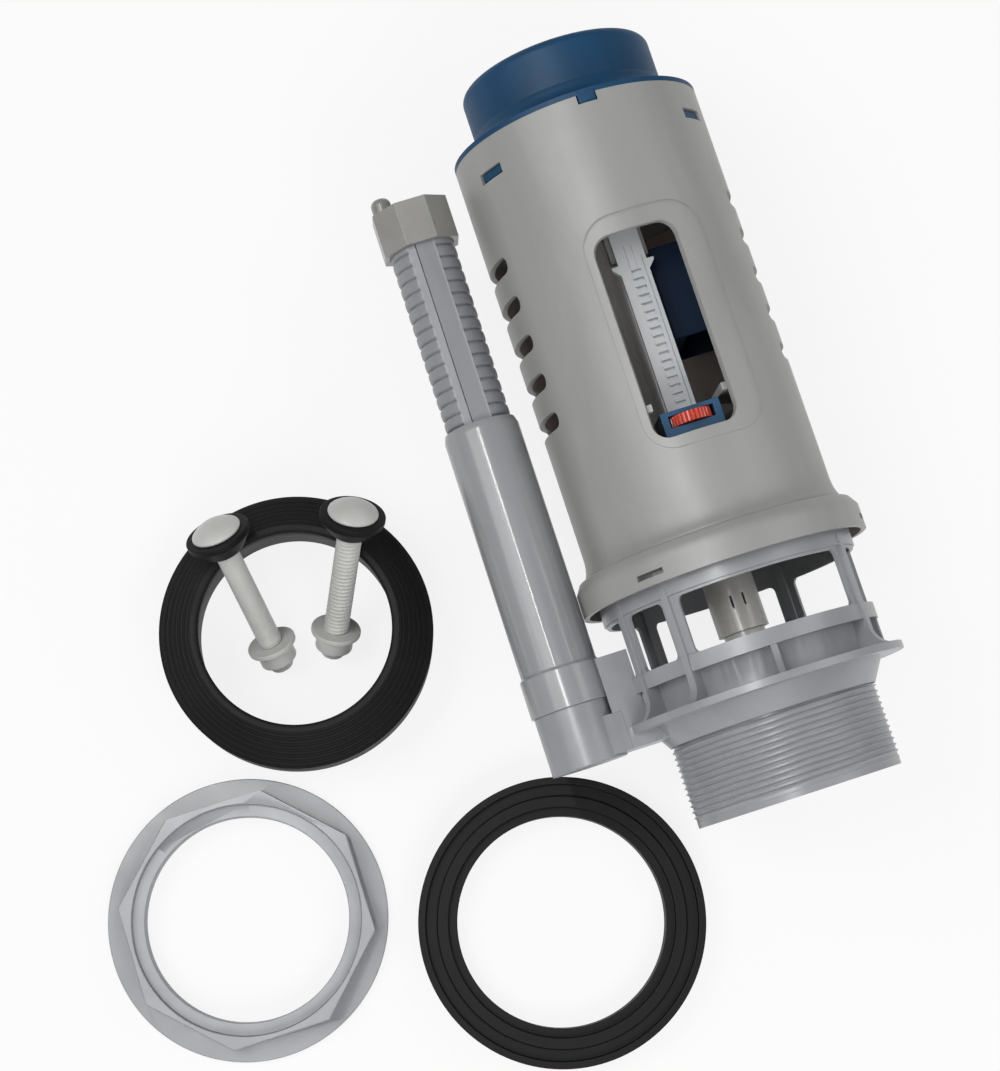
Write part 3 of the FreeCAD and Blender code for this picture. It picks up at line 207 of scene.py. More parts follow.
# The camera looks down on the bench past the shank, a little turned, as in the photograph.
# Its turn is written as the right and the up direction of the picture, and its place is in
# metres. The focal length and the picture's long side are counted in the photograph's dots.
FOCAL_LENGTH, LONG_SIDE = 2290, 1071
camera_data = bpy.data.cameras.new("camera")
camera_data.lens = 36 * FOCAL_LENGTH / LONG_SIDE
camera_data.clip_start = 0.05
camera = bpy.data.objects.new("camera", camera_data)
picture_right = Vector((0.9513, -0.30675, 0.03753)).normalized()
picture_up = Vector((0.29698, 0.94104, 0.16353)).normalized()
picture_back = picture_right.cross(picture_up)
camera.matrix_world = Matrix.Translation((-0.1535, 0.0005, 0.8706)) @ Matrix(
    (picture_right, picture_up, picture_back)).transposed().to_4x4()
bpy.context.scene.collection.objects.link(camera)
bpy.context.scene.camera = camera

# The shank: the lowest part of the base moulding, light grey plastic with a satin skin.
# It is a tube with a flange. Its thread is a true helix, cut off by a fine line at the neck.


def moulded_plastic(name, colour, shade, grain=1.0, gloss=0.42, streak=(40, 9, 40), shine=0.45):
    """Satin moulded plastic: two close tones drift into each other in long flow marks, the
    gloss changes in soft patches and a fine spark grain roughens the surface."""
    material, shader, node, link = new_material(name)
    place = node("TexCoord")
    stretch = node("Mapping")
    stretch.inputs["Scale"].default_value = streak
    flow = node("TexNoise", Scale=1.0, Detail=5.0, Roughness=0.55, Distortion=0.6)
    tones = node("ValToRGB")
    tones.color_ramp.elements[0].position = 0.34
    tones.color_ramp.elements[0].color = screen_colour(shade)
    tones.color_ramp.elements[1].position = 0.68
    tones.color_ramp.elements[1].color = screen_colour(colour)
    patches = node("TexNoise", Scale=55.0, Detail=3.0, Roughness=0.6)
    polish = node("MapRange")
    polish.inputs["To Min"].default_value = gloss - 0.07
    polish.inputs["To Max"].default_value = gloss + 0.1
    sparks = node("TexNoise", Scale=1400.0, Detail=2.0, Roughness=0.7)
    waves = node("TexNoise", Scale=90.0, Detail=2.0, Roughness=0.5)
    heights = node("Math", operation="MULTIPLY_ADD")
    heights.inputs[1].default_value = 0.12
    bump = node("Bump", Strength=0.35 * grain, Distance=0.00018)
    shader.inputs["Specular IOR Level"].default_value = shine
    link(place.outputs["Object"], stretch.inputs["Vector"])
    link(stretch.outputs[0], flow.inputs["Vector"])
    link(flow.outputs["Fac"], tones.inputs["Fac"])
    link(tones.outputs["Color"], shader.inputs["Base Color"])
    for pattern in (patches, sparks, waves):
        link(place.outputs["Object"], pattern.inputs["Vector"])
    link(patches.outputs["Fac"], polish.inputs["Value"])
    link(polish.outputs["Result"], shader.inputs["Roughness"])
    link(sparks.outputs["Fac"], heights.inputs[0])
    link(waves.outputs["Fac"], heights.inputs[2])
    link(heights.outputs[0], bump.inputs["Height"])
    link(bump.outputs["Normal"], shader.inputs["Normal"])
    return material


def soften(piece, edge, limit=40):
    """Rounds the sharp edges of a piece, as a mould leaves them."""
    rounded = piece.modifiers.new("edge", "BEVEL")
    rounded.width, rounded.segments = edge / 1000, 2
    rounded.limit_method, rounded.angle_limit = "ANGLE", math.radians(limit)
    rounded.harden_normals = True


def thicken(piece, wall, edge):
    """Gives a skin its wall, inwards, and rounds the edges of the wall a little."""
    solid = piece.modifiers.new("wall", "SOLIDIFY")
    solid.thickness, solid.offset = wall / 1000, -1
    solid.use_quality_normals = True
    soften(piece, edge)


def put_sectors(work, moves):
    """Puts turned copies of some sectors of a body round the valve's axis in the place of
    others. A move names the place's first turn, the source's first turn and their width."""
    marks = {turn for to, start, width in moves for turn in (to, to + width, start, start + width)}
    for turn in sorted(marks):
        flat = (math.cos(math.radians(turn)), 0, -math.sin(math.radians(turn)))
        bmesh.ops.bisect_plane(work, geom=work.verts[:] + work.edges[:] + work.faces[:],
                               plane_co=(0, 0, 0), plane_no=flat)
    turns = {}
    for face in work.faces:
        middle = face.calc_center_median()
        turns[face] = math.degrees(math.atan2(middle.x, middle.z))
    gone = []
    for to, start, width in moves:
        picked = [face for face, turn in turns.items() if (turn - start) % 360 < width]
        gone += [face for face, turn in turns.items() if (turn - to) % 360 < width]
        made = bmesh.ops.duplicate(work, geom=picked)["geom"]
        bmesh.ops.rotate(work, cent=(0, 0, 0),
                         matrix=Matrix.Rotation(math.radians(to - start), 3, "Y"),
                         verts=[part for part in made if isinstance(part, bmesh.types.BMVert)])
    bmesh.ops.delete(work, geom=list(set(gone)), context="FACES")
    bmesh.ops.remove_doubles(work, verts=work.verts, dist=3e-5)


def dressed(name, material, edge=0.25, drop=None, cuts=(), moves=(), limit=40):
    """A copy of a solid with joined triangles and softly rounded edges, in its place. Faces
    whose middles pass the drop test are left out for a finer piece that stands there, after
    the faces have been cut at the given distances across the valve."""
    mesh = nodes[name].data.copy()
    mesh.materials.clear()
    work = bmesh.new()
    work.from_mesh(mesh)
    bmesh.ops.remove_doubles(work, verts=work.verts, dist=2e-6)
    for across in cuts:
        bmesh.ops.bisect_plane(work, geom=work.verts[:] + work.edges[:] + work.faces[:],
                               plane_co=(across / 1000, 0, 0), plane_no=(1, 0, 0))
    if moves:
        put_sectors(work, moves)
    if drop:
        gone = [face for face in work.faces if drop(face.calc_center_median() * 1000)]
        bmesh.ops.delete(work, geom=gone, context="FACES")
    bmesh.ops.dissolve_degenerate(work, dist=1e-5, edges=work.edges)
    bmesh.ops.dissolve_limit(work, angle_limit=math.radians(0.6), verts=work.verts,
                             edges=work.edges)
    work.to_mesh(mesh)
    work.free()
    mesh.shade_smooth()
    mesh.set_sharp_from_angle(angle=math.radians(32))
    piece = bpy.data.objects.new(name + "_finished", mesh)
    bpy.context.scene.collection.objects.link(piece)
    if edge:
        soften(piece, edge, limit=limit)
    piece.data.materials.append(material)
    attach(piece, nodes[name]["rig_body"])
    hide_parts(name)
    return piece


def added(piece, material, body):
    """A finer piece gets its material and its body."""
    piece.data.materials.append(material)
    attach(piece, body)
    return piece


def on_tube(turn_deg, height, radius):
    """Points of a tube about the valve's axis. The turn starts at the window, towards the
    right, and heights count from the shank's open end."""
    turn = np.radians(turn_deg)
    return np.stack([radius * np.sin(turn), height - 2 + 0 * turn, radius * np.cos(turn)], -1)


THREAD_PITCH = 2.35
PLAIN_END_RADIUS = 40.25
CREST_RISE, CREST_WIDTH = 0.9, 0.42
CREST_START, CREST_GROWTH = 2.2, 2.2
UNDERCUT_START, UNDERCUT_END, UNDERCUT_RADIUS = 31.25, 31.95, 39.6
NECK_RADIUS = 41.1


def shank_thread():
    """Rows up the shank and columns round it. The radius is that of the root plus a narrow
    crest once in each pitch, and the crests climb one pitch a turn. A plain end comes first,
    where the crests grow, and a thin undercut parts the last one from the neck."""
    turns, heights = np.meshgrid(np.linspace(-180, 180, 200, endpoint=False),
                                 np.append(np.arange(0, 31.2, 0.16), [31.2, 31.3, 31.9, 32.0]))
    phase = heights / THREAD_PITCH - turns / 360
    away = np.abs(phase - np.round(phase)) * THREAD_PITCH
    grown = np.clip((heights - CREST_START) / CREST_GROWTH, 0, 1)
    radius = (PLAIN_END_RADIUS - 0.2 * grown
              + CREST_RISE * np.exp(-(away / CREST_WIDTH) ** 2) * grown)
    radius = np.where((heights > UNDERCUT_START) & (heights < UNDERCUT_END),
                      UNDERCUT_RADIUS, radius)
    radius = np.where(heights > UNDERCUT_END, NECK_RADIUS, radius)
    return on_tube(turns, heights, radius), grid_faces(*turns.shape)


def thread_rings(at):
    """Tells the faces of the solid's thread rings, between its open end and its neck."""
    return -1.9 < at.y < 29.99 and math.hypot(at.x, at.z) > 38.9


base_grey = moulded_plastic("base_grey", "9D9FA4", "939599", streak=(25, 25, 60), gloss=0.3)
dressed("base_shank", base_grey, edge=0.3, drop=thread_rings)
added(put_mesh("shank_thread", *shank_thread(), sharp=60), base_grey, "base")

# The inlet band on the flange, the cage above it and the elbow beside them belong to the
# same moulding. Thin frames with round corners stiffen the windows between the posts.


def rounded_outline(left, right, low, high, corner, count=28):
    """A closed line round a rectangle with quarter-circle corners, evenly counted along
    each side and each corner, so that two such lines can be joined point to point."""
    side = np.linspace(0, 1, count, endpoint=False)
    bend = np.radians(90) * side
    centres = [(right - corner, low + corner), (right - corner, high - corner),
               (left + corner, high - corner), (left + corner, low + corner)]
    parts = []
    for k, (cx, cz) in enumerate(centres):
        start = math.radians(-90 + 90 * k)
        arc = np.stack([cx + corner * np.cos(start + bend), cz + corner * np.sin(start + bend)], -1)
        nx, nz = centres[(k + 1) % 4]
        turn = start + math.radians(90)
        a = np.array([cx + corner * math.cos(turn), cz + corner * math.sin(turn)])
        b = np.array([nx + corner * math.cos(turn), nz + corner * math.sin(turn)])
        parts += [arc, a + (b - a) * side[:, None]]
    return np.concatenate(parts)


def ring_between(inner, outer, shares):
    """Rows of points from one closed line to another that has as many points."""
    shares = np.asarray(shares)[:, None, None]
    return inner[None] * (1 - shares) + outer[None] * shares


POST_TURNS = (-66, -38, 52, 98, 144, 218, 294)
FRAME_RADIUS = 49.6
FRAME_FOOT, FRAME_TOP = 60.2, 85
OPENING_FOOT, OPENING_TOP, OPENING_CORNER = 60.8, 82.9, 2.4


def window_frame(left, right, border):
    """A curved plate between two posts: rings of points from the rounded opening out to the
    posts, wrapped round the tube by turning millimetres along it into degrees."""
    degree = math.radians(1) * FRAME_RADIUS
    a, b = left * degree + 0.6, right * degree - 0.6
    hole = rounded_outline(a + border, b - border, OPENING_FOOT, OPENING_TOP, OPENING_CORNER,
                           count=14)
    edge = rounded_outline(a, b, FRAME_FOOT, FRAME_TOP, 0.3, count=14)
    rings = ring_between(hole, edge, np.linspace(0, 1, 5))
    return (on_tube(rings[..., 0] / degree, rings[..., 1], FRAME_RADIUS),
            grid_faces(*rings.shape[:2]))


# In the photograph the front left post stands further left than in the solids, and the
# band has two ribs less. The post's sector goes there, and plain sectors fill the gaps.
dressed("inlet_band", base_grey, edge=0.35,
        moves=((-41, -25.5, 6), (-25.5, -34, 6), (-46, -33, 4), (24, 10, 4)))
dressed("inlet_cage", base_grey, edge=0.35, moves=((-41.5, -26, 14), (-26, 5, 14)))
dressed("overflow_elbow", base_grey, edge=0.35)
for number, (left, right) in enumerate(zip(POST_TURNS[:-1], POST_TURNS[1:]), start=1):
    border = 2.2 if right - left < 40 else 4.0
    rim = put_mesh("window_frame_%d" % number, *window_frame(left, right, border))
    thicken(rim, 1.5, 0.3)
    added(rim, base_grey, "base")

# The fixed overflow pipe is pushed over the elbow's spigot, on a black rubber ring. It is a
# glossier extruded tube of cool light grey plastic with a moulded bell.


def black_rubber(name):
    """Matt black rubber: scattered paler scuffs and dust over black, and a fine rough skin."""
    material, shader, node, link = new_material(name)
    place = node("TexCoord")
    cloud = node("TexNoise", Scale=34.0, Detail=8.0, Roughness=0.7)
    tones = node("ValToRGB")
    tones.color_ramp.elements[0].position = 0.35
    tones.color_ramp.elements[0].color = screen_colour("070709")
    tones.color_ramp.elements[1].position = 0.6
    tones.color_ramp.elements[1].color = screen_colour("0E0E11")
    worn = tones.color_ramp.elements.new(0.8)
    worn.color = screen_colour("1E1E22")
    fine = node("TexNoise", Scale=900.0, Detail=3.0, Roughness=0.7)
    polish = node("MapRange")
    polish.inputs["To Min"].default_value = 0.46
    polish.inputs["To Max"].default_value = 0.72
    bump = node("Bump", Strength=0.4, Distance=0.0001)
    shader.inputs["Specular IOR Level"].default_value = 0.2
    link(place.outputs["Object"], cloud.inputs["Vector"])
    link(place.outputs["Object"], fine.inputs["Vector"])
    link(cloud.outputs["Fac"], tones.inputs["Fac"])
    link(tones.outputs["Color"], shader.inputs["Base Color"])
    link(cloud.outputs["Fac"], polish.inputs["Value"])
    link(polish.outputs["Result"], shader.inputs["Roughness"])
    link(fine.outputs["Fac"], bump.inputs["Height"])
    link(bump.outputs["Normal"], shader.inputs["Normal"])
    return material


tube_grey = moulded_plastic("tube_grey", "9C9DA0", "96979A", grain=0.15, gloss=0.17,
                            streak=(60, 8, 60))
rubber = black_rubber("rubber")
dressed("overflow_pipe", tube_grey, edge=0.3)
dressed("overflow_oring", rubber, edge=0)

# The riser slides in the pipe. Its sides are ribbed for grip. A smooth two-sided strip runs
# up its face, with a dark slit between the narrow and the wide side.
RISER_AXIS = -72.5
RISER_RADIUS = 13.0
RISER_FOOT, RISER_TOP = 143, 258
RIBS_START, RIBS_END = 146, 247.5
RIB_VALLEY, RIB_PITCH = 148, 5.1


def spread_between(marks, step):
    """Grid lines that include every mark, with even gaps of about one step between marks."""
    marks = np.unique(np.round(marks, 4))
    runs = [np.linspace(a, b, max(int(np.ceil((b - a) / step)), 1), endpoint=False)
            for a, b in zip(marks[:-1], marks[1:])]
    return np.append(np.concatenate(runs), marks[-1])


def riser_skin():
    """Rows up the tube and columns round it. The ribs bulge a little and meet in narrow
    valleys; from -30 to 20 degrees two flat sides and a slit take their place."""
    turns = spread_between([-180, -31, -30, -14.9, -14.2, -13.5, -12.8, 20, 21, 21.6, 180], 4)[:-1]
    heights = np.arange(RISER_FOOT, RISER_TOP + 0.01, 0.51)
    turns, heights = np.meshgrid(turns, heights)
    share = (heights - RIB_VALLEY) / RIB_PITCH % 1
    near = np.minimum(share, 1 - share) * RIB_PITCH
    ribs = RISER_RADIUS - 0.85 * np.exp(-(near / 0.42) ** 2) - 0.3 * (2 * share - 1) ** 2
    ribs = np.where((heights > RIBS_START) & (heights < RIBS_END), ribs, 12.95)
    # A flat side: its distance from the axis over the cosine of the turn from its middle.
    narrow = 12.65 / np.cos(np.radians(turns + 22))
    wide = 12.3 / np.cos(np.radians(turns - 3))
    radius = np.where((turns > -30.5) & (turns < -14.5), narrow, ribs)
    radius = np.where((turns > -13.2) & (turns < 20.5), wide, radius)
    radius = np.where((turns > -14.5) & (turns < -13.2), 11.6, radius)
    radius = np.where((turns > 20.5) & (turns < 21.3), RISER_RADIUS, radius)
    points = on_tube(turns, heights, np.minimum(radius, RISER_RADIUS))
    points[..., 0] += RISER_AXIS
    return points, grid_faces(*turns.shape)


riser_grey = moulded_plastic("riser_grey", "919297", "87888D", gloss=0.38, streak=(50, 10, 50))
riser = put_mesh("riser_skin", *riser_skin(), sharp=40)
thicken(riser, 2.2, 0.15)
added(riser, riser_grey, "riser")
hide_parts("overflow_riser")

# The cap closes the riser and carries the nipple for the refill hose. It is the same grey
# in a slightly warmer, more glassy batch, with soft edges.
cap_grey = moulded_plastic("cap_grey", "9B9A96", "908F8B", gloss=0.28, streak=(30, 30, 30))
dressed("overflow_cap", cap_grey, edge=1.0, limit=30)

# The casing: a thin tube of warm light grey plastic with a flared collar, moulded in one.
# Window, side slots, clip holes, bayonet slots and the key's notch go through its wall.


def pull_to_round(u, v, half_width, half_height, corner):
    """Points on a square's sides, moved to a rectangle and then, past its corners' centres,
    out along the radius to the rounded corners."""
    x, z = u * half_width, v * half_height
    cx = np.sign(x) * (half_width - corner)
    cz = np.sign(z) * (half_height - corner)
    dx, dz = x - cx, z - cz
    past = (np.abs(x) > half_width - corner) & (np.abs(z) > half_height - corner)
    far = np.where(past, np.hypot(dx, dz), 1)
    return np.where(past, cx + dx / far * corner, x), np.where(past, cz + dz / far * corner, z)


CASING_RADIUS = 50.0
CASING_TOP = 273.5
COLLAR_RADIUS = 57.0
COLLAR_TOP = 98.5
FLARE_FOOT, FLARE_TOP, FLARE_BEND = 102.6, 111.0, 16.0
SLOT_HEIGHTS = 163.2 + 15.9 * np.arange(5)
WINDOW_CORNER = 6.5


def casing_radius_at(height):
    """The tube's outer radius up the valve: collar, chamfer, a fine groove, hollow flare,
    then straight."""
    below = FLARE_TOP - np.clip(height, 98, FLARE_TOP)
    flare = CASING_RADIUS + FLARE_BEND - np.sqrt(np.maximum(FLARE_BEND ** 2 - below ** 2, 0))
    flare = np.minimum(flare, 54.5)
    chamfer = COLLAR_RADIUS - (height - COLLAR_TOP) * 2.5 / (FLARE_FOOT - COLLAR_TOP)
    groove = 0.5 * np.exp(-((height - FLARE_FOOT) / 0.3) ** 2)
    tube = np.where(height < FLARE_TOP, flare, CASING_RADIUS)
    foot = np.where(height < FLARE_FOOT, chamfer, tube)
    return np.where(height <= COLLAR_TOP, COLLAR_RADIUS, foot) - groove


def casing_skin():
    """The outer skin on a grid of turns and heights. Square holes leave grid cells out; a
    hole with round corners gets rings that run from its edge to the cells round it."""
    # Half the widths of the key's notch, the cup's clip holes and the bayonet slots. A square
    # hole is its left, right, low and high edge; a round one its middle, its half width and
    # height, its corner and how far its rings reach to the side and up.
    key_turn = math.degrees(3.9 / CASING_RADIUS)
    clip_turn = math.degrees(6.5 / CASING_RADIUS)
    slit_turn = math.degrees(5.75 / COLLAR_RADIUS)
    square_holes = [(a - clip_turn, a + clip_turn, 258.3, 262.5) for a in (-125, -55, 55, 125)]
    square_holes += [(a - slit_turn, a + slit_turn, 91.9, 94.1) for a in (-37, 72.5, 162.5)]
    square_holes += [(-key_turn, key_turn, 270, CASING_TOP)]
    window_turn = math.degrees(math.asin(16.3 / CASING_RADIUS))
    slot_turn = math.degrees(math.asin(21.9 / CASING_RADIUS))
    round_holes = [(0, 178.6, window_turn, 40, WINDOW_CORNER, 25, 46)]
    round_holes += [(side, height, slot_turn, 3.25, 3.2, slot_turn + 4, 6.6)
                    for side in (-90, 90) for height in SLOT_HEIGHTS]
    turn_marks = [-180, 180]
    height_marks = [89, COLLAR_TOP, 101.7, 102.1, 102.35, FLARE_FOOT, 102.85, 103.2, 104, 104.8,
                    106.2, 108, FLARE_TOP, CASING_TOP]
    for left, right, low, high in square_holes:
        turn_marks += [left, right]
        height_marks += [low, high]
    for turn, height, _, _, _, reach, rise in round_holes:
        turn_marks += [turn - reach, turn + reach]
        height_marks += [height - rise, height + rise]
    turns = spread_between(turn_marks, 2.6)
    heights = spread_between(height_marks, 3.2)
    kept = np.ones((len(heights) - 1, len(turns) - 1), bool)

    def span(lines, low, high):
        return [int(np.argmin(np.abs(lines - value))) for value in (low, high)]

    for left, right, low, high in square_holes:
        (i0, i1), (j0, j1) = span(heights, low, high), span(turns, left, right)
        kept[i0:i1, j0:j1] = False
    turn_grid, height_grid = np.meshgrid(turns, heights)
    points = [on_tube(turn_grid, height_grid, casing_radius_at(height_grid)).reshape(-1, 3)]
    faces = []
    count = len(points[0])
    for turn, height, half_turn, half_height, corner, reach, rise in round_holes:
        (i0, i1), (j0, j1) = (span(heights, height - rise, height + rise),
                              span(turns, turn - reach, turn + reach))
        kept[i0:i1, j0:j1] = False
        rim_turn = np.concatenate([turns[j0:j1], np.full(i1 - i0, turns[j1]),
                                   turns[j1:j0:-1], np.full(i1 - i0, turns[j0])])
        rim_height = np.concatenate([np.full(j1 - j0, heights[i0]), heights[i0:i1],
                                     np.full(j1 - j0, heights[i1]), heights[i1:i0:-1]])
        hole_x, hole_z = pull_to_round((rim_turn - turn) / reach, (rim_height - height) / rise,
                                       math.radians(half_turn) * CASING_RADIUS, half_height,
                                       corner)
        edge = np.stack([turn + np.degrees(hole_x / CASING_RADIUS), height + hole_z], -1)
        rim = np.stack([rim_turn, rim_height], -1)
        rings = ring_between(edge, rim, (0, 0.12, 0.35, 0.65, 1))
        points.append(on_tube(rings[..., 0], rings[..., 1], CASING_RADIUS).reshape(-1, 3))
        faces.append(grid_faces(len(rings), len(rim)) + count)
        count += len(points[-1])
    plain = grid_faces(len(heights), len(turns), close_columns=False)
    faces.append(plain[kept.reshape(-1)])
    return np.concatenate(points), np.concatenate(faces)


casing_grey = moulded_plastic("casing_grey", "A2A2A0", "989896")
casing_shell = put_mesh("casing_shell", *casing_skin())
thicken(casing_shell, 2.2, 0.28)
added(casing_shell, casing_grey, "casing")
# The inside wall is a paler, warmer copy of the casing plastic: painted light that lifts the shade
# inside the tube.
casing_inside_painted_light = moulded_plastic("casing_inside_painted_light", "B8ACA7", "AB9F9A", gloss=0.55)
casing_shell.data.materials.append(casing_inside_painted_light)
casing_shell.modifiers["wall"].material_offset = 1
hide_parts("casing")

# The raised panel round the window is part of the same moulding. It stands 0.4 mm proud,
# with a thin line round it where it steps back down to the tube.


def window_panel():
    """Rings from the window's edge to the panel's edge, wrapped round the tube, with the
    last rings stepping down into the wall."""
    hole = rounded_outline(-16.35, 16.35, 138.55, 218.65, WINDOW_CORNER)
    edge = rounded_outline(-19.5, 27.2, 134, 226, 12)
    shares = np.array([0, 0.02, 0.2, 0.4, 0.6, 0.8, 0.965, 1, 1.03])
    rise = np.array([-0.6, 0.4, 0.4, 0.4, 0.4, 0.4, 0.4, 0.22, -0.3])
    rings = ring_between(hole, edge, shares)
    turn = np.degrees(np.arcsin(rings[..., 0] / 50.4))
    return (on_tube(turn, rings[..., 1], CASING_RADIUS + rise[:, None]),
            grid_faces(*rings.shape[:2]))


added(put_mesh("window_panel", *window_panel(), sharp=50), casing_grey, "casing")

# Inside the casing: the stem guide low down, the ledge plate round the strip's foot and the
# frame under the cup, all of the casing's plastic, and the lever's steel pin.


def bright_steel(name):
    """Drawn stainless wire and pins: metal with fine marks that change its gloss."""
    material, shader, node, link = new_material(name)
    shader.inputs["Metallic"].default_value = 1.0
    place = node("TexCoord")
    marks = node("TexNoise", Scale=400.0, Detail=4.0, Roughness=0.6)
    tones = node("ValToRGB")
    tones.color_ramp.elements[0].color = screen_colour("A9ABAD")
    tones.color_ramp.elements[1].color = screen_colour("D5D6D8")
    polish = node("MapRange")
    polish.inputs["To Min"].default_value = 0.18
    polish.inputs["To Max"].default_value = 0.38
    link(place.outputs["Object"], marks.inputs["Vector"])
    link(marks.outputs["Fac"], tones.inputs["Fac"])
    link(tones.outputs["Color"], shader.inputs["Base Color"])
    link(marks.outputs["Fac"], polish.inputs["Value"])
    link(polish.outputs["Result"], shader.inputs["Roughness"])
    return material


steel = bright_steel("steel")
for name in ("stem_guide", "ledge_plate", "inner_frame"):
    dressed(name, casing_grey, edge=0.25)
dressed("lever_pin", steel, edge=0.2)

# The stem that the full flush lifts: keeper, rubber seal and plate at its foot, the tube
# with its two snap slits, the head that the lever raises, and the dark blue float box.
# The keeper, plate and tube are painted paler than their plastic: painted light that stands in for
# the light which the cage's shade keeps from them.
stem_grey_painted_light = moulded_plastic("stem_grey_painted_light", "DEDDD8", "D2D1CC", gloss=0.26, streak=(60, 8, 60))
white_plastic = moulded_plastic("white_plastic", "DDE0E2", "D1D5D8", gloss=0.4)
deep_blue = moulded_plastic("deep_blue", "05213E", "041A31", gloss=0.5, shine=0.12)
for name in ("seal_keeper", "seal_plate", "stem_tube"):
    dressed(name, stem_grey_painted_light, edge=0.25)
dressed("flush_seal", rubber, edge=0.3)
dressed("stem_head", white_plastic, edge=0.25)
dressed("float_block", deep_blue, edge=0.5)

# The level strip, white plastic with hooked notches cut in its face, and the carrier it
# hangs from. A rail runs along its right edge. Its end goes on past the window's edge.
STRIP_HALF = 5.65
STRIP_FOOT = 138
STRIP_FRONT = 27.0
STRIP_FACE = 29.0
STRIP_END = 222.0
STRIP_TOP = round(max(corner.co.y for corner in nodes["level_rod"].data.vertices) * 1000, 3)
HOOK_LEVELS = 151.3 + 3.36 * np.arange(17)


def strip_face():
    """Rows up the strip and columns across it, closest at the grooves' edges. A groove is
    its left, right, low and high edge and its depth. They make a line beside the rail, two
    lines up to the top and a hook for each notch, and fall off over 0.12 mm."""
    grooves = [(3.85, 4.2, 137, 211.5, 0.7), (-1.75, -1.35, 204.5, 240, 0.6),
               (1.1, 1.45, 206.5, 240, 0.35)]
    for level in HOOK_LEVELS:
        grooves += [(-1.3, 2.4, level, level + 0.95, 1.5), (2.0, 2.35, level - 1.3, level, 0.3),
                    (-1.8, -1.2, level + 0.3, level + 0.95, 0.7),
                    (-2.1, -1.75, level + 0.7, level + 1.9, 0.3)]
    edges = np.array(grooves)
    sides = [edges[:, :2] - 0.06, edges[:, :2] + 0.06]
    ends = [edges[:, 2:4] - 0.06, edges[:, 2:4] + 0.06]
    across = np.append(np.ravel(sides), (-STRIP_HALF, STRIP_HALF))
    across = np.clip(across, -STRIP_HALF, STRIP_HALF)
    up = np.clip(np.append(np.ravel(ends), (STRIP_FOOT, STRIP_TOP)), STRIP_FOOT, STRIP_TOP)
    x, y = np.meshgrid(spread_between(across, 1), spread_between(up, 1))
    cut = np.zeros_like(x)
    for left, right, low, high, depth in grooves:
        inside = np.minimum(np.minimum(x - left, right - x), np.minimum(y - low, high - y))
        cut = np.maximum(cut, depth * np.clip(inside / 0.12 + 0.5, 0, 1))
    return np.stack([x, y, STRIP_FACE - cut], -1), grid_faces(*x.shape, close_columns=False)


def strip_front(at):
    """Tells the faces of the solid's front, with its square notches, inside the edges."""
    return (abs(at.x) < STRIP_HALF - 0.02 and at.z > STRIP_FRONT
            and STRIP_FOOT + 0.01 < at.y < STRIP_TOP - 0.01)


dressed("level_rod", white_plastic, edge=0, drop=strip_front, cuts=(-STRIP_HALF, STRIP_HALF))
added(put_mesh("strip_face", *strip_face(), sharp=50), white_plastic, "level_rod")
end_corners = [(side, height, front) for side in (-STRIP_HALF, STRIP_HALF)
               for height in (STRIP_TOP, STRIP_END) for front in (26.5, STRIP_FACE)]
end_faces = [(0, 1, 3, 2), (4, 6, 7, 5), (0, 4, 5, 1), (2, 3, 7, 6), (0, 2, 6, 4), (1, 5, 7, 3)]
added(put_mesh("strip_end", end_corners, end_faces), white_plastic, "level_rod")
dressed("rod_carrier", casing_grey, edge=0.3)

# The carriage slides on the strip. Its knurled orange-red wheel turns on a steel axle in a
# mid-blue frame, and is set through the window with a finger.
frame_blue = moulded_plastic("frame_blue", "2B597F", "224A6B", gloss=0.3)
red_plastic = moulded_plastic("red_plastic", "D4472E", "C23A24", gloss=0.3)
dressed("adjuster_frame", frame_blue, edge=0.3)
dressed("wheel_axle", steel, edge=0.2)
dressed("adjuster_wheel", red_plastic, edge=0.1)

# The forked lever of white plastic, and the cup on top of matt steel-blue plastic, clipped into the
# casing.
# A soft shoulder runs round the cup's foot, where it meets its flange.


def cup_shoulder():
    """A band of rings about the axis from the cup's wall out to the flange's edge: steep at
    first, then a thin step, then almost flat, with a fall like a fillet's."""
    profile = np.array([(38.6, 284.2), (38.95, 283.6), (39.1, 282), (39.5, 280.4), (40.3, 279.2),
                        (41.4, 278.4), (42.6, 278.0), (42.9, 277.5), (45, 276.7), (47.5, 276.1),
                        (49.4, 275.75), (49.6, 275.3)])
    turns = np.linspace(-180, 180, 160, endpoint=False)
    turns, radius = np.meshgrid(turns, profile[:, 0])
    heights = np.repeat(profile[:, 1:], turns.shape[1], axis=1)
    return on_tube(turns, heights, radius), grid_faces(*turns.shape)


cup_blue = moulded_plastic("cup_blue", "07456C", "063D60", gloss=0.52, grain=1.8, shine=0.28)
dressed("full_lever", white_plastic, edge=0.3)
dressed("top_cup", cup_blue, edge=0.3)
added(put_mesh("cup_shoulder", *cup_shoulder(), sharp=40), cup_blue, "casing")

# The two halves of the push plate and the steel coils that lift them back. A coil is wound
# 17.8 mm tall. It rides on its half and gets a mesh of its own.
for half, travel in (("full", 0.0056), ("half", 0.006)):
    dressed(half + "_button", cup_blue, edge=0.35)
    coil = dressed(half + "_spring", steel, edge=0)
    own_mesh(coil)

# The loose kit on the bench: the stepped rubber ring, the flanged nut with its inner
# thread, and the thick rubber gasket with fine ridges on its slope.


def on_bench(turn_deg, radius, height, middle):
    turn = np.radians(turn_deg)
    return np.stack([middle[0] + radius * np.cos(turn), middle[1] + radius * np.sin(turn),
                     KIT_FLOOR + height + 0 * turn], -1)


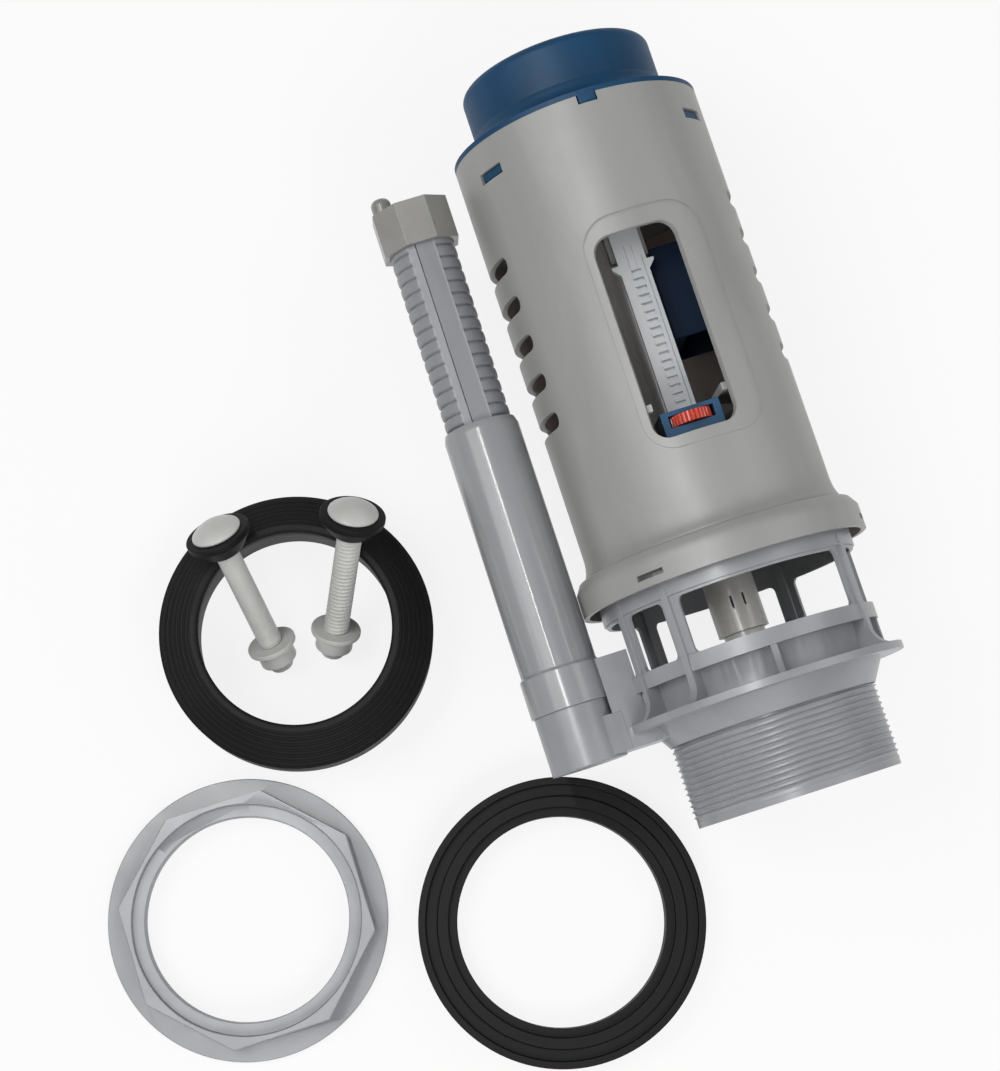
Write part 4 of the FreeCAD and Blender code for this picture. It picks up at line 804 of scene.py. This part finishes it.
def gasket_skin(middle):
    """The gasket's closed outline turned about its axis: a tapered bore, an upright side and
    a slope with shallow ridges that follow a sine of the distance up the slope."""
    share = np.linspace(0, 1, 46)
    slope = np.stack([54.5 - 13.5 * share, 20 + 12 * share], -1)
    ridge = 0.16 * np.sin(share * 13 * 2 * np.pi) * np.clip(share * 8, 0, 1) * (share < 0.98)
    slope += ridge[:, None] * np.array([[12, 13.5]]) / 18.06
    side = np.stack([np.full(6, 54.5), np.linspace(0.6, 19.4, 6)], -1)
    profile = np.concatenate([[(39.5, 0), (46, 0), (53.9, 0)], side, slope,
                              [(39.5, 32.0), (38.4, 31.7), (38.05, 31.0), (38.5, 22), (39.0, 11)]])
    turns = np.linspace(0, 360, 150, endpoint=False)
    turns, radius = np.meshgrid(turns, profile[:, 0])
    heights = np.repeat(profile[:, 1:], turns.shape[1], axis=1)
    return on_bench(turns, radius, heights, middle), grid_faces(*turns.shape, close_rows=True)


gasket = put_mesh("gasket_skin", *gasket_skin((-164, 121)), sharp=50)
added(gasket, rubber, "base")
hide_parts("bowl_gasket")
dressed("seal_ring", rubber, edge=0.45)
dressed("lock_nut", base_grey, edge=0.45)

# The two fixing bolts of white plastic, each with a black rubber cone under its domed head
# and a flanged nut. The right one is threaded along its shaft, the left one only faintly.
BOLT_RADIUS = 4.72
BOLT_PITCH = 1.7


def bolt_thread(solid, depth):
    """Rows along a bolt's shaft and columns round it. The axis is the long direction of the
    solid's corners, from the tail to the head, and the radius follows a cosine once in each
    pitch, which climbs one pitch a turn."""
    corners = np.array([corner.co for corner in solid.data.vertices]) * 1000
    middle = corners.mean(axis=0)
    axis = np.linalg.svd(corners - middle, full_matrices=False)[2][0]
    along = (corners - middle) @ axis
    wide = np.linalg.norm(corners - middle - along[:, None] * axis, axis=1)
    axis = axis if along[wide.argmax()] > 0 else -axis
    along = (corners - middle) @ axis
    tip = (corners - middle)[along < along.min() + 0.5].mean(axis=0)
    tail = middle + tip
    side = np.cross(axis, (0, 0, 1))
    side /= np.linalg.norm(side)
    turns, run = np.meshgrid(np.radians(np.arange(0, 360, 15)), np.arange(1.2, 58, 0.2))
    crest = 0.5 + 0.5 * np.cos(2 * np.pi * run / BOLT_PITCH - turns)
    radius = BOLT_RADIUS + depth * crest * np.clip((run - 1.2) / 2, 0, 1)
    points = (tail + run[..., None] * axis + (radius * np.cos(turns))[..., None] * side
              + (radius * np.sin(turns))[..., None] * np.cross(axis, side))
    return points, grid_faces(*turns.shape)


bolt_white = moulded_plastic("bolt_white", "C9CAC6", "BEBFBB", gloss=0.35)
for side, depth in (("left", 0.1), ("right", 0.32)):
    name = "tank_bolt_" + side
    thread = put_mesh(name + "_thread", *bolt_thread(nodes[name], depth), sharp=60)
    added(thread, bolt_white, "base")
    dressed(name, bolt_white, edge=0.4)
    dressed("bolt_washer_" + side, rubber, edge=0.5)
    dressed("bolt_nut_" + side, bolt_white, edge=0.4)
